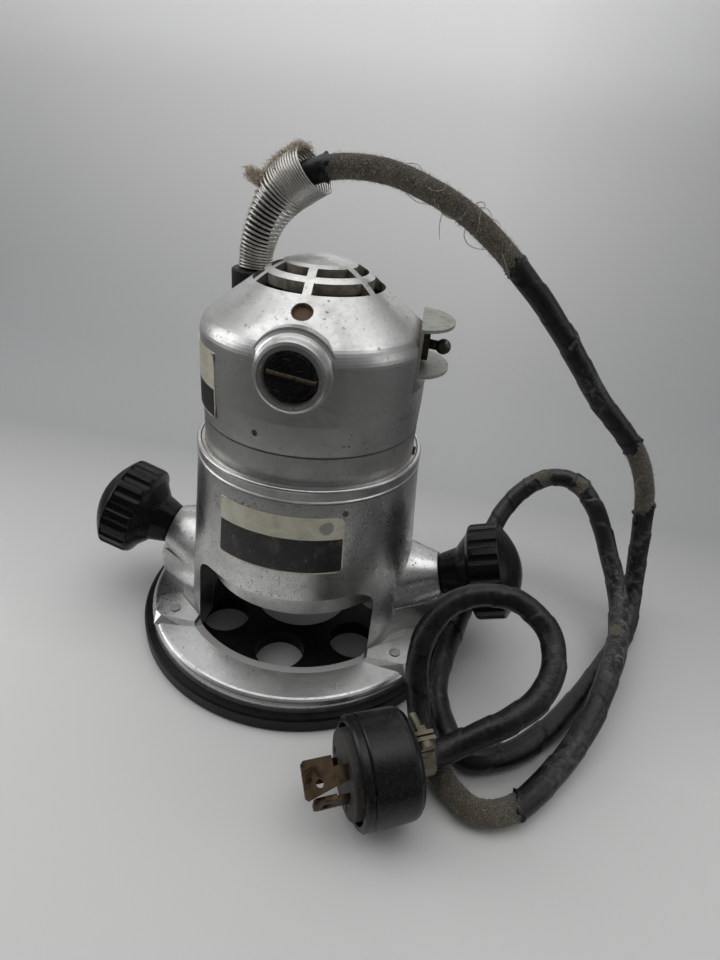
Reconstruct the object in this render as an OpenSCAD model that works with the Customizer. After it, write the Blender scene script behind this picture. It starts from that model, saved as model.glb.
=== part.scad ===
// Electric router: a fixed base with two knob handles, a motor that slides in
// the base's sleeve for depth, and a long cord that ends in a locking plug.
// Z is up, X runs through the two handles and the window side is towards -Y.
// The origin is on the motor's axis, at the underside of the sub-base.

/* [Sub-base] */
// Diameter of the black sub-base
sub_base_d = 152.4; // [146:0.2:160]
// Thickness of the sub-base under the base plate
sub_base_t = 7; // [6:0.1:9]
// Diameter of the cutter's opening in the sub-base
guide_bore_d = 46; // [40:0.2:48]
// Diameter of each viewing hole round the cutter's opening
view_hole_d = 22; // [18:0.2:23]
// Number of viewing holes
view_hole_count = 7; // [5:1:7]
// Radius of the ring of viewing holes
view_ring_r = 39.6; // [38:0.2:40.4]

/* [Base plate] */
// How far the plate's rim lies inside the sub-base's edge
plate_in = 3.9; // [2:0.1:6]
// Thickness of the base plate at its opening
plate_t = 7; // [6:0.1:9]
// Width of the bevelled land round the opening
land_w = 4.4; // [2:0.1:6]
// Radius of the rounded rim
plate_rim_r = 3.2; // [2:0.1:4]
// Fall of the plate's top from the land to the rim
plate_fall = 1; // [0.5:0.1:1.6]
// Height of the screw pads above the plate
pad_h = 1.2; // [0.6:0.1:2]
// Distance of each base screw inwards from the plate's rim
screw_in = 9.8; // [9:0.1:11]
// Direction of the base screws from the handle axis, in degrees
screw_turn = 34.6; // [33:0.2:36]
// Diameter of the base screws
screw_d = 4.8; // [4:0.1:5.2]

/* [Sleeve] */
// Outer diameter of the sleeve where it meets the base plate
sleeve_foot_d = 106.8; // [104:0.2:109]
// Wall of the sleeve under the depth ring
sleeve_wall = 3.15; // [2.8:0.05:3.8]
// Height of the sleeve's rim
sleeve_top_z = 97.6; // [94:0.2:102]
// Half the width of the front and back windows
window_half_w = 39; // [35:0.2:41]
// Height of the windows' top edge
window_top_z = 47.6; // [42:0.2:52]
// Radius of the windows' top corners
window_corner_r = 9; // [5:0.5:12]
// Width of the two pin notches in the rim
notch_w = 8; // [5:0.5:10]
// Depth of the two pin notches
notch_h = 6; // [4:0.5:9]

/* [Depth ring] */
// Height of the depth ring
ring_h = 5.9; // [4.5:0.1:7]
// How far the ring's bead stands out beyond the sleeve
ring_bead_out = 0.3; // [0:0.05:1]
// Depth of the scale groove in the ring
ring_groove = 0.5; // [0.2:0.05:0.8]

/* [Sleeve clamp] */
// Width of the slit at the back of the sleeve
slit_w = 2.6; // [1.6:0.2:3]
// Depth of the clamp screw below the sleeve's rim
clamp_down = 24.6; // [22:0.2:27]
// Distance of the clamp screw out from the sleeve's side
clamp_out = 12.8; // [11.8:0.2:14.4]
// Radius of the clamp lugs
lug_r = 9; // [8:0.5:10]
// Thickness of each lug
lug_t = 9; // [7:0.5:11]
// Diameter of the clamp screw
clamp_d = 6; // [5:0.5:7]
// Reach of each wing of the wing nut
wing_reach = 12; // [10:0.5:12.5]

/* [Handles] */
// Upward tilt of the handle axes, in degrees
handle_tilt = 18; // [10:1:24]
// Distance of each boss end inwards from the plate's rim
boss_end_in = 5.7; // [4.5:0.1:7]
// Height of the middle of each boss end above the plate
boss_end_up = 21.3; // [19:0.1:24]
// Diameter of the boss at its end
boss_end_d = 21; // [19:0.2:23]
// Diameter of the boss where it leaves the sleeve
boss_root_d = 46; // [40:0.5:50]
// Length of the boss cone
boss_len = 22; // [20:0.5:24]
// Diameter of the knob's fluted rim
knob_d = 44.2; // [42:0.2:48]
// Length of the knob
knob_len = 37.6; // [35:0.2:42]
// Diameter of the knob's neck
knob_neck_d = 19.6; // [18:0.2:22]
// Number of finger flutes round the knob
flute_count = 18; // [12:1:24]
// Depth of each flute
flute_depth = 1.1; // [0.6:0.1:1.6]
// Diameter of the stud that holds the knob
stud_d = 8; // [6:0.5:9]

/* [Motor] */
// Diameter of the motor body
motor_d = 88.9; // [88:0.1:89.6]
// Height of the motor's lower face
motor_low_z = 31.4; // [28:0.2:34]
// Height of the motor body, from its lower face to the seam under the cap
motor_h = 77.9; // [76:0.1:82]
// Wall of the motor body
motor_wall = 2.6; // [2:0.1:3.5]
// Height of the cap above the seam
cap_h = 62.3; // [60:0.1:65]
// Radius of the crown
crown_r = 37; // [33:0.5:42]
// Slope of the dome below the crown, in degrees
dome_slope = 37.5; // [36:0.5:39]
// How far the cap's side stands out beyond the motor body
cap_step = 0.45; // [0.1:0.05:1]
// Radius of the shoulder
shoulder_r = 9; // [6:0.2:11]
// Wall of the cap
cap_wall = 3; // [2.4:0.1:3.2]
// Direction of the front brush, in degrees round the motor's axis
motor_turn = -87; // [-92:1:-82]

/* [Vents] */
// Number of vent slots in each row
vent_count = 6; // [4:1:8]
// Inner radius of the lower row
vent_low_r = 20.8; // [20:0.1:22]
// Inner radius of the upper row
vent_up_r = 14; // [13.8:0.1:14.6]
// Width of each slot
vent_w = 4.3; // [3:0.1:5]
// Width of the ribs between slots
vent_rib = 3.1; // [2.5:0.1:5]

/* [Brushes] */
// Height of the brush axis above the seam
brush_up = 30.1; // [29:0.1:32]
// Diameter of the boss round each brush cap
brush_boss_d = 25.6; // [24:0.2:28]
// How far each boss stands out beyond the cap's side
brush_boss_out = 2.3; // [1.5:0.1:3.5]
// Diameter of the brush cap
brush_cap_d = 17.4; // [16:0.2:19]
// Diameter of the well round the brush cap
brush_well_d = 19.6; // [19:0.2:21]
// Width of the screwdriver slot
brush_slot_w = 1.8; // [1.2:0.1:2.4]
// Diameter of the shallow hole above each brush
access_d = 7.4; // [5:0.2:8]
// Height of the shallow hole above the brush axis
access_up = 18.2; // [17:0.1:19.5]

/* [Switch] */
// Direction of the toggle switch, from the front brush, in degrees
switch_turn = 90; // [84:1:96]
// Height of the switch's axis above the seam
switch_up = 34.5; // [33:0.1:36]
// Depth of the flat that carries the switch, below the cap's side
switch_flat_in = 4.3; // [3.5:0.1:4.9]
// Height of the flat's lower edge above the seam
switch_flat_up = 19.7; // [17:0.1:22]
// Diameter of the switch's threaded bush
switch_bush_d = 11.8; // [10:0.2:12.4]
// Diameter of the knurled switch nut
switch_nut_d = 13.6; // [13:0.2:15]
// Thickness of the switch nut
switch_nut_t = 2.6; // [2:0.2:3.4]
// Length of the lever from the nut to the ball
lever_len = 5.8; // [4:0.2:8]
// Diameter of the lever's ball
lever_ball_d = 6; // [5:0.2:7]
// Thickness of the guard's plate
guard_t = 1.2; // [0.8:0.1:1.6]
// Reach of the guard's two ears
guard_reach = 12.5; // [10:0.5:14]
// Width of each ear at its root
guard_w = 35; // [30:0.5:36]
// Height of the guard over both ears
guard_h = 18.4; // [17.4:0.2:20]

/* [Cord] */
// Direction of the cord gland, in degrees round the motor's axis
gland_turn = 146; // [144:1:148]
// Distance of the gland's middle inwards from the cap's side
gland_in = 5.1; // [4.7:0.1:5.5]
// Diameter of the gland
gland_d = 20; // [18:0.5:22]
// Height of the gland's top above the seam
gland_up = 49.5; // [48:0.1:51]
// Diameter of the cord
cord_d = 10; // [9:0.1:10.2]
// Diameter of the spring's wire
spring_wire = 1.1; // [0.9:0.05:1.2]
// Outer diameter of the spring at the gland
spring_d = 14.2; // [14:0.1:15]
// Outer diameter of the spring at its free end
spring_end_d = 19; // [16:0.5:20]
// Number of turns in the spring
spring_turns = 22; // [16:1:22]

/* [Plug] */
// Diameter of the plug
plug_d = 38; // [36:0.2:39]
// Length of the plug's body
plug_len = 22; // [20:0.5:24]
// Wall of the plug's rim
plug_wall = 2.4; // [1.6:0.1:3]
// Width of the groove between the plug's rim and its face
plug_groove = 1.6; // [1:0.1:2.4]
// Height of the face above the plug's rim
plug_face_h = 2.5; // [1:0.1:4]
// Thickness of the plug's blades
blade_t = 1.6; // [1.2:0.1:2]
// Length of the plug's two shorter blades beyond its face
blade_len = 12.4; // [11:0.2:15]
// Thickness of the cord clamp's straps
strap_t = 1.5; // [1:0.1:2]

/* [Collet] */
// Bore of the collet
collet_d = 6.35; // [5:0.05:8]
// Width across the flats of the collet nut
collet_nut_w = 22; // [20:0.2:24]
// Height of the collet's lower end
collet_low_z = 8.4; // [8:0.1:10]

/* [Hidden] */
$fn = 64;

// Running clearance of the sliding and turning fits
fit_gap = 0.1;
// Clearance between pieces that are only put together
seat_gap = 0.2;
// Overshoot of cutting solids
cut = 1;

// Base, from the sub-base upwards
plate_top_z = sub_base_t + plate_t;
plate_r = sub_base_d / 2 - plate_in;
screw_ring_r = plate_r - screw_in;
screw_x = screw_ring_r * cos(screw_turn);
screw_y = screw_ring_r * sin(screw_turn);
screw_head_d = screw_d * 1.9;
screw_recess = 0.3;
guide_r = guide_bore_d / 2;
opening_r = sleeve_foot_d / 2;
boss_end_x = plate_r - boss_end_in;
boss_end_z = plate_top_z + boss_end_up;

// Motor, and the sleeve and ring that fit round it
motor_r = motor_d / 2;
motor_bore_r = motor_r - motor_wall;
bore_r = motor_r + fit_gap;
sleeve_top_r = bore_r + sleeve_wall;
ring_step = 1.4;
ring_seat_z = sleeve_top_z - ring_h - seat_gap;
ring_seat_r = sleeve_top_r - ring_step;
clamp_y = sleeve_top_r + clamp_out;
clamp_z = sleeve_top_z - clamp_down;
clamp_lug_x = slit_w / 2 + lug_t;
seam_z = motor_low_z + motor_h;
seam_groove = 0.35;

// Cap and what is set in it
cap_r = motor_r + cap_step;
crown_z = seam_z + cap_h;
brush_z = seam_z + brush_up;
brush_boss_face = cap_r + brush_boss_out;
access_z = brush_z + access_up;
switch_z = seam_z + switch_up;
switch_flat = cap_r - switch_flat_in;
switch_flat_z = seam_z + switch_flat_up;
toggle_az = motor_turn + switch_turn;
gland_top_z = seam_z + gland_up;
gland_out = cap_r - gland_in;
gland_x = gland_out * cos(gland_turn);
gland_y = gland_out * sin(gland_turn);

// Rotor and bearing stations along the motor's axis
low_brg_gap = 3;
low_brg_z = motor_low_z + low_brg_gap;
low_brg_h = 12;
low_brg_r = 20;
low_shaft_r = 8.5;
fan_space = 2.4;
fan_z = low_brg_z + low_brg_h + fan_space;
fan_h = 8;
winding_h = 6;
winding_gap = 1;
core_z = fan_z + fan_h + winding_h + winding_gap;
core_below_seam = 9.5;
core_h = seam_z - core_below_seam - core_z;
yoke_t = 19.55;
core_r = motor_bore_r - yoke_t;
air_gap = 0.7;
shaft_r = 7;
comm_r = 14;
comm_h = 22;
comm_z = brush_z - comm_h / 2;
up_brg_r = 11;
up_brg_h = 7;
up_shaft_r = 4;
up_brg_gap = 2.6;
up_brg_z = comm_z + comm_h + up_brg_gap;

// Outer radius of the sleeve's cone at a height
function sleeve_r(z) = opening_r
    + (sleeve_top_r - opening_r) * (z - plate_top_z) / (ring_seat_z - plate_top_z);

// Points of an arc about [cx, cy], from one angle to another
function arc(cx, cy, r, from, to, steps) =
    [for (i = [0:steps]) let (a = from + (to - from) * i / steps) [cx + r * cos(a), cy + r * sin(a)]];

// Turns a piece built along +X so that it points in a direction at a height
module aim(turn, z) {
    translate([0, 0, z]) rotate([0, 0, turn]) children();
}

// A round bar along +X
module bar(from, to, r) {
    translate([from, 0, 0]) rotate([0, 90, 0]) cylinder(r = r, h = to - from);
}

// Revolves a profile of [distance along +X, radius] points about +X
module turned(points) {
    rotate([0, 90, 0]) rotate_extrude() polygon([for (p = points) [p[1], p[0]]]);
}

// Sub-base

module sub_base() {
    edge = 0.8;
    color([0.07, 0.07, 0.08]) difference() {
        rotate_extrude() polygon([
            [guide_r, 0], [sub_base_d / 2 - edge, 0], [sub_base_d / 2, edge],
            [sub_base_d / 2, sub_base_t - edge], [sub_base_d / 2 - edge, sub_base_t],
            [guide_r, sub_base_t]]);
        for (i = [0:view_hole_count - 1])
            rotate([0, 0, -90 + i * 360 / view_hole_count])
                translate([view_ring_r, 0, -cut])
                    cylinder(d = view_hole_d, h = sub_base_t + 2 * cut);
        at_base_screws() {
            translate([0, 0, -cut]) cylinder(d = screw_d + 2 * fit_gap, h = sub_base_t + 2 * cut);
            screw_cone(fit_gap);
        }
    }
}

// Places a child at each of the four base screws
module at_base_screws() {
    for (sx = [-1, 1], sy = [-1, 1])
        translate([sx * screw_x, sy * screw_y, 0]) children();
}

// Countersunk head, just above the underside
module screw_cone(gap) {
    head_h = (screw_head_d - screw_d) / 2;
    rim_h = 0.6;
    translate([0, 0, screw_recess + rim_h])
        cylinder(d1 = screw_head_d + 2 * gap, d2 = screw_d + 2 * gap, h = head_h);
    translate([0, 0, screw_recess - gap * 10]) cylinder(d = screw_head_d + 2 * gap, h = rim_h + gap * 10);
}

module sub_base_screws() {
    slot_w = 1.2;
    tip_h = 0.5;
    color([0.55, 0.5, 0.38]) at_base_screws() difference() {
        union() {
            screw_cone(0);
            translate([0, 0, screw_recess + 0.2])
                cylinder(d = screw_d - fit_gap, h = plate_top_z + pad_h + tip_h - screw_recess - 0.2);
        }
        translate([-screw_head_d, -slot_w / 2, 0])
            cube([2 * screw_head_d, slot_w, screw_recess + 1.2]);
    }
}

// Base casting

// Ring of the base plate, with its bevelled land and rounded rim
module plate_ring() {
    top = plate_top_z;
    rim_top = top - plate_fall;
    rotate_extrude() polygon(concat(
        [[opening_r - 0.2, sub_base_t], [opening_r - 0.2, top - 1.2], [opening_r + land_w, top]],
        arc(plate_r - plate_rim_r, rim_top - plate_rim_r, plate_rim_r, 80, 0, 5),
        [[plate_r, sub_base_t]]));
}

// Conical sleeve with the narrower seat of the depth ring at its rim
module sleeve_body() {
    core = bore_r - 14;
    rotate_extrude() polygon([
        [core, sub_base_t], [opening_r, sub_base_t], [opening_r, plate_top_z],
        [sleeve_top_r, ring_seat_z], [ring_seat_r, ring_seat_z],
        [ring_seat_r, sleeve_top_z - 0.6], [ring_seat_r - 0.5, sleeve_top_z], [core, sleeve_top_z]]);
}

// Opening with rounded top corners, in the X-Z plane
module window_shape() {
    w = window_half_w;
    r = window_corner_r;
    polygon(concat(
        [[-w, sub_base_t - cut], [w, sub_base_t - cut]],
        arc(w - r, window_top_z - r, r, 0, 90, 8),
        arc(-w + r, window_top_z - r, r, 90, 180, 8)));
}

module window_cut() {
    intersection() {
        rotate([90, 0, 0]) linear_extrude(height = 2 * plate_r, center = true) window_shape();
        translate([0, 0, -cut]) cylinder(r = opening_r + 0.6, h = sleeve_top_z);
    }
}

// Concave fillet between a leg's side and the plate
module leg_fillet(len, r) {
    rotate([90, 0, -90]) linear_extrude(height = len)
        polygon(concat([[-0.6, -0.6], [r, -0.6]], arc(r, r, r, 270, 180, 8), [[-0.6, r]]));
}

// One leg with its conical handle boss, on the +X side
module leg() {
    t = handle_tilt;
    end_r = boss_end_d / 2;
    root_r = boss_root_d / 2;
    root_x = boss_end_x - boss_len * cos(t);
    root_z = boss_end_z - boss_len * sin(t);
    lip_x = boss_end_x + end_r * sin(t);
    lip_z = boss_end_z - end_r * cos(t);
    splay = atan((root_r - end_r) / (boss_end_x - root_x));
    fillet_r = 14;
    translate([boss_end_x, 0, boss_end_z]) rotate([0, -t, 0]) turned([
        [-boss_len, 0], [-boss_len, root_r], [0, end_r], [0, 0]]);
    // box below the boss, a little narrower than the cone
    inset = 0.2;
    intersection() {
        rotate([90, 0, 0]) linear_extrude(height = 2 * root_r, center = true) polygon([
            [root_x - 8, sub_base_t], [lip_x - 0.8, sub_base_t], [lip_x - inset, lip_z],
            [boss_end_x - inset, boss_end_z], [root_x, root_z], [root_x - 8, root_z - 2]]);
        translate([0, 0, sub_base_t + 0.5]) linear_extrude(height = boss_end_z) polygon([
            [root_x - 8, inset - root_r], [root_x, inset - root_r], [boss_end_x, inset - end_r],
            [lip_x + 1, inset - end_r], [lip_x + 1, end_r - inset], [boss_end_x, end_r - inset],
            [root_x, root_r - inset], [root_x - 8, root_r - inset]]);
    }
    intersection() {
        for (m = [0, 1]) mirror([0, m, 0])
            translate([boss_end_x + 6, end_r - 6 * tan(splay) - inset + 0.15, plate_top_z - inset])
                rotate([0, 0, -splay]) leg_fillet(boss_len + 16, fillet_r);
        translate([0, 0, sub_base_t + 1]) cylinder(r = plate_r - plate_rim_r - 0.6, h = 40);
        translate([window_half_w + 0.5, -plate_r, 0]) cube([60, 2 * plate_r, 60]);
    }
}

// Flat pad round a base screw, with a sloped front
module screw_pad() {
    low = plate_top_z - 2;
    slice = 0.4;
    translate([screw_x, screw_y, 0]) hull() {
        translate([0, 0, low]) linear_extrude(height = slice) polygon([
            [-15.9, 1], [1.6, -13.5], [11.1, -8], [10.1, 1.5], [6.1, 9], [-14.4, 10]]);
        translate([0, 0, plate_top_z + pad_h - slice]) linear_extrude(height = slice) polygon([
            [-12, 1], [2.6, -10.5], [9.1, -6.5], [7.6, 3.5], [4.1, 5.7], [-11.8, 5.7]]);
    }
}

// Block at the back of the sleeve that the slit parts into the clamp's two lugs
module clamp_lugs() {
    rib_h = 6;
    root_y = bore_r - 2.5;
    rib_y = sleeve_top_r + 5;
    rotate([90, 0, 90]) linear_extrude(height = 2 * clamp_lug_x, center = true)
        polygon(concat([[root_y, clamp_z - lug_r]], arc(clamp_y, clamp_z, lug_r, -90, 90, 12),
            [[root_y, clamp_z + lug_r]]));
    rotate([90, 0, 90]) linear_extrude(height = slit_w + lug_t, center = true) polygon([
        [root_y, clamp_z - lug_r - rib_h], [rib_y, clamp_z - lug_r + 1],
        [rib_y, clamp_z + lug_r - 1], [root_y, clamp_z + lug_r + rib_h]]);
}

module base_casting() {
    color([0.72, 0.73, 0.73]) difference() {
        union() {
            plate_ring();
            sleeve_body();
            for (m = [0, 1]) mirror([m, 0, 0]) leg();
            for (mx = [0, 1], my = [0, 1]) mirror([mx, 0, 0]) mirror([0, my, 0]) screw_pad();
            clamp_lugs();
        }
        translate([0, 0, -cut]) cylinder(r = bore_r, h = sleeve_top_z + 2 * cut);
        window_cut();
        // pin notches on the handle sides of the rim
        translate([-ring_seat_r + 0.8, -notch_w / 2, sleeve_top_z - notch_h])
            cube([2 * ring_seat_r - 1.6, notch_w, notch_h + cut]);
        translate([-slit_w / 2, 30, window_top_z - cut]) cube([slit_w, 60, sleeve_top_z]);
        translate([0, clamp_y, clamp_z])
            bar(-clamp_lug_x - cut, clamp_lug_x + cut, clamp_d / 2 + fit_gap);
        at_base_screws() cylinder(d = screw_d, h = plate_top_z + pad_h + cut);
        for (m = [0, 1]) mirror([m, 0, 0])
            translate([boss_end_x, 0, boss_end_z]) rotate([0, -handle_tilt, 0])
                bar(-boss_len * 0.7, cut, stud_d / 2);
    }
}

// Thin plate on the front of the sleeve, bare and two-tone
module name_plate() {
    plate_h = 25;
    high_z = sleeve_top_z - 11.6;
    low_z = high_z - plate_h;
    half_turn = 30.5;
    t = 0.4;
    color([0.8, 0.78, 0.66]) rotate([0, 0, -90 - half_turn]) rotate_extrude(angle = 2 * half_turn)
        translate([0.03, 0]) polygon([[sleeve_r(low_z), low_z], [sleeve_r(low_z) + t, low_z],
            [sleeve_r(high_z) + t, high_z], [sleeve_r(high_z), high_z]]);
}

// Ring that turns on the rim and carries the depth scale
module depth_ring() {
    in_r = ring_seat_r + fit_gap;
    out_r = sleeve_top_r + ring_bead_out;
    low = ring_seat_z + seat_gap;
    high = low + ring_h;
    bead = 0.9;
    color([0.78, 0.79, 0.79]) rotate_extrude() polygon(concat(
        [[in_r, low], [out_r - 0.4, low], [out_r, low + 0.3], [out_r, low + 0.8],
        [out_r - ring_groove, low + 1.2], [out_r - ring_groove, high - 2 * bead]],
        arc(out_r - bead, high - bead, bead, -40, 90, 6),
        [[in_r, high]]));
}

// Sleeve clamp

module clamp_screw() {
    head_h = 4;
    color([0.6, 0.6, 0.58]) translate([0, clamp_y, clamp_z]) {
        bar(-clamp_lug_x - 0.5, clamp_lug_x + 15, clamp_d / 2);
        translate([-clamp_lug_x - head_h, 0, 0]) rotate([0, 90, 0])
            cylinder(d = clamp_d * 1.9, h = head_h, $fn = 6);
    }
}

module clamp_wing_nut() {
    hub_r = clamp_d * 0.95;
    hub_h = 9;
    x0 = clamp_lug_x + seat_gap;
    color([0.62, 0.62, 0.6]) translate([0, clamp_y, clamp_z]) difference() {
        union() {
            turned([[x0, 0], [x0, hub_r], [x0 + hub_h, hub_r - 1.6], [x0 + hub_h, 0]]);
            // leaf-shaped wings
            for (m = [0, 1]) mirror([0, 0, m]) translate([x0 + 3, 1.1, 0]) rotate([90, 0, 0])
                linear_extrude(height = 2.2) polygon(concat(
                    [[0, 2], [0, hub_r - 0.5]],
                    arc(hub_h - 1.5, wing_reach - 4, 4, 150, -60, 10), [[hub_h - 3, 2]]));
        }
        bar(x0 - cut, x0 + hub_h + 12, clamp_d / 2 + fit_gap);
    }
}

// Handles

// Places a child on the handle axis of one side, +X pointing outwards
module at_handle(side) {
    mirror([side < 0 ? 1 : 0, 0, 0])
        translate([boss_end_x, 0, boss_end_z]) rotate([0, -handle_tilt, 0]) children();
}

module handle_studs() {
    color([0.5, 0.5, 0.48]) for (side = [-1, 1]) at_handle(side)
        bar(-boss_len * 0.65, knob_len * 0.55, stud_d / 2);
}

module knob(side) {
    neck_r = knob_neck_d / 2;
    rim_r = knob_d / 2;
    neck_to = knob_len * 0.23;
    rim_from = knob_len * 0.44;
    rim_to = knob_len * 0.77;
    flute_r = 3.4;
    gap = seat_gap / 2;
    color([0.05, 0.05, 0.055]) at_handle(side) difference() {
        turned(concat(
            [[gap, 0], [gap, neck_r - 1], [gap + 1, neck_r], [neck_to, neck_r + 2.2],
            [neck_to + 1, neck_r + 3.4], [rim_from - 3, rim_r - 4.4]],
            arc(rim_from + 0.6, rim_r - 2.6, 2.6, 145, 90, 4),
            arc(rim_to - 1.5, rim_r - 1.6, 1.6, 90, 40, 3),
            // shallow domed end
            [for (i = [7:-1:0]) let (f = i / 8)
                [rim_to + (knob_len - rim_to) * (1 - f * f), (rim_r - 0.8) * f]]));
        for (i = [0:flute_count - 1]) rotate([i * 360 / flute_count, 0, 0])
            translate([0, 0, rim_r + flute_r - flute_depth]) bar(rim_from - 6, rim_to - 1, flute_r);
        bar(-cut, knob_len * 0.56, stud_d / 2 + fit_gap / 2);
    }
}

module left_knob() {
    knob(-1);
}

module right_knob() {
    knob(1);
}

// Motor body and cap

module motor_housing() {
    chamfer = 3;
    floor_t = 3;
    exhaust_d = 8;
    color([0.74, 0.75, 0.75]) difference() {
        rotate_extrude() polygon([
            [low_shaft_r + 0.7, motor_low_z], [motor_r - chamfer, motor_low_z],
            [motor_r, motor_low_z + chamfer], [motor_r, seam_z - seam_groove],
            [motor_r - seam_groove, seam_z], [motor_bore_r, seam_z],
            [motor_bore_r, motor_low_z + floor_t + 1.4], [low_brg_r + 3.5, motor_low_z + floor_t + 1.4],
            [low_brg_r + 3.5, low_brg_z + low_brg_h], [low_brg_r, low_brg_z + low_brg_h],
            [low_brg_r, low_brg_z], [low_shaft_r + 0.7, low_brg_z]]);
        for (i = [0:7]) rotate([0, 0, 22.5 + i * 45])
            translate([(motor_bore_r + low_brg_r) / 2 + 1.5, 0, motor_low_z - cut])
                cylinder(d = exhaust_d, h = 12);
    }
}

// Radius of the dome's slope at a height
function dome_r(z) = crown_r * sin(dome_slope)
    + (crown_z - crown_r + crown_r * cos(dome_slope) - z) / tan(dome_slope);

// Crown, slope and shoulder of the cap, drawn a wall's depth inside when off > 0
function cap_profile(off) =
    let (
        zc = crown_z - crown_r,
        tan_r = crown_r * sin(dome_slope),
        tan_z = zc + crown_r * cos(dome_slope),
        sh_r = cap_r - shoulder_r + shoulder_r * sin(dome_slope),
        sh_z = tan_z - (sh_r - tan_r) * tan(dome_slope) - shoulder_r * cos(dome_slope)
    ) concat(
        arc(cap_r - shoulder_r, sh_z, shoulder_r - off, 0, 90 - dome_slope, 7),
        [for (i = [0:6]) let (a = dome_slope * (1 - i / 6))
            [(crown_r - off) * sin(a), zc + (crown_r - off) * cos(a)]]);

module cap_shell() {
    spigot_h = 5;
    difference() {
        rotate_extrude() polygon(concat(
            [[0, seam_z], [motor_r - seam_groove, seam_z], [motor_r, seam_z + seam_groove],
            [cap_r, seam_z + 12]], cap_profile(0)));
        rotate_extrude() polygon(concat(
            [[0, seam_z - cut], [motor_bore_r - cap_wall, seam_z - cut],
            [cap_r - cap_wall, seam_z + 14]], cap_profile(cap_wall)));
    }
    // spigot that centres the cap in the body
    difference() {
        translate([0, 0, seam_z - spigot_h])
            cylinder(r = motor_bore_r - fit_gap, h = spigot_h + 1);
        translate([0, 0, seam_z - spigot_h - cut])
            cylinder(r = motor_bore_r - cap_wall, h = spigot_h + 3 * cut);
    }
}

// Two rows of vent slots, cut straight down, with radial ribs left between
module vent_cut() {
    difference() {
        for (r = [vent_low_r, vent_up_r]) difference() {
            translate([0, 0, up_brg_z - 2]) cylinder(r = r + vent_w, h = 40);
            translate([0, 0, up_brg_z - 3]) cylinder(r = r, h = 42);
        }
        for (i = [0:vent_count - 1]) rotate([0, 0, motor_turn + i * 360 / vent_count])
            translate([0, -vent_rib / 2, up_brg_z - 3]) cube([40, vent_rib, 42]);
    }
}

// Thicker wall behind the flat that the switch is fixed to
module switch_pad() {
    pad_w = 40;
    intersection() {
        rotate_extrude() polygon(concat(
            [[0, seam_z], [motor_r, seam_z], [cap_r, seam_z + 12]], cap_profile(cap_wall / 2)));
        aim(toggle_az, switch_flat_z - 4) translate([switch_flat - 4, -pad_w / 2, 0])
            cube([4 + cap_r, pad_w, 40]);
    }
}

// Boss of the gland, part inside the dome and part outside it, with a conical foot
module gland_boss() {
    boss_r = gland_d / 2 + 1.5;
    foot_z = gland_seat_z - 17;
    translate([gland_x, gland_y, foot_z]) cylinder(r = boss_r, h = gland_seat_z - foot_z);
    translate([gland_x, gland_y, foot_z - 12]) cylinder(r1 = 4, r2 = boss_r, h = 12);
    intersection() {
        translate([gland_x, gland_y, foot_z]) cylinder(r = boss_r + 0.4, h = 40);
        rotate_extrude() polygon(concat([[0, seam_z], [cap_r - 1, seam_z]], cap_profile(1)));
    }
}

module motor_cap() {
    boss_edge = 1.4;
    boss_r = brush_boss_d / 2;
    access_depth = 1.5;
    bearing_boss_r = vent_up_r - 0.2;
    holder_r = brush_holder_r;
    boss_root = brush_seat - 2;
    color([0.75, 0.76, 0.76]) difference() {
        union() {
            cap_shell();
            for (k = [0, 180]) aim(motor_turn + k, brush_z) {
                turned(concat([[boss_root, 0], [boss_root, boss_r + 3]],
                    arc(brush_boss_face - boss_edge - 0.4, boss_r + 4, 4, 195, 262, 5),
                    [[brush_boss_face - boss_edge, boss_r - 0.1], [brush_boss_face - boss_edge / 3, boss_r - boss_edge / 3],
                    [brush_boss_face, boss_r - boss_edge], [brush_boss_face, 0]]));
                bar(brush_seat - 11, brush_seat, holder_r + 2.4);
            }
            switch_pad();
            gland_boss();
            // seat of the upper bearing, under the crown
            translate([0, 0, up_brg_z - 1.5])
                cylinder(r = bearing_boss_r, h = crown_z - 4 - up_brg_z);
        }
        for (k = [0, 180]) aim(motor_turn + k, brush_z) {
            bar(comm_r + 6, cap_r + 15, holder_r + fit_gap / 2);
            bar(brush_seat, cap_r + 15, brush_well_d / 2);
            translate([dome_r(access_z), 0, access_z - brush_z]) rotate([0, dome_slope - 90, 0])
                bar(-access_depth, 10, access_d / 2);
        }
        aim(toggle_az, switch_z) bar(switch_flat - 20, cap_r + 15, switch_bush_d / 2 + fit_gap / 2);
        translate([gland_x, gland_y, gland_low_z - 8]) cylinder(r = gland_shank_r + fit_gap / 2, h = 40);
        translate([gland_x, gland_y, gland_seat_z]) cylinder(r = gland_d / 2 + fit_gap, h = 40);
        translate([0, 0, up_brg_z - 4]) cylinder(r = up_brg_r, h = up_brg_h + 4);
        translate([0, 0, up_brg_z]) cylinder(r = up_brg_r - 2, h = up_brg_h + 1.5);
        vent_cut();
        aim(toggle_az, switch_flat_z) translate([switch_flat, -30, 0]) cube([30, 60, 60]);
        at_cap_screws() bar(30, 60, cap_screw_d / 2);
    }
}

cap_screw_d = 2.6;
cap_screw_z = seam_z + 6.6;
module at_cap_screws() {
    for (i = [0:2]) aim(-104 + i * 120, cap_screw_z) children();
}

module cap_screws() {
    color([0.62, 0.55, 0.35]) at_cap_screws() difference() {
        bar(motor_bore_r - cap_wall + 0.5, motor_r + 0.25, cap_screw_d / 2 - fit_gap / 2);
        translate([motor_r - 0.3, -0.25, -3]) cube([2, 0.5, 6]);
    }
}

// Thin plate on the left of the cap, bare and two-tone
module motor_name_plate() {
    half_turn = 29;
    t = 0.4;
    plate_h = 25;
    color([0.75, 0.73, 0.62]) rotate([0, 0, -158.5 - half_turn]) rotate_extrude(angle = 2 * half_turn)
        translate([cap_r + 0.03, seam_z + 5.4]) square([t, plate_h]);
}

// Brushes

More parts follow.
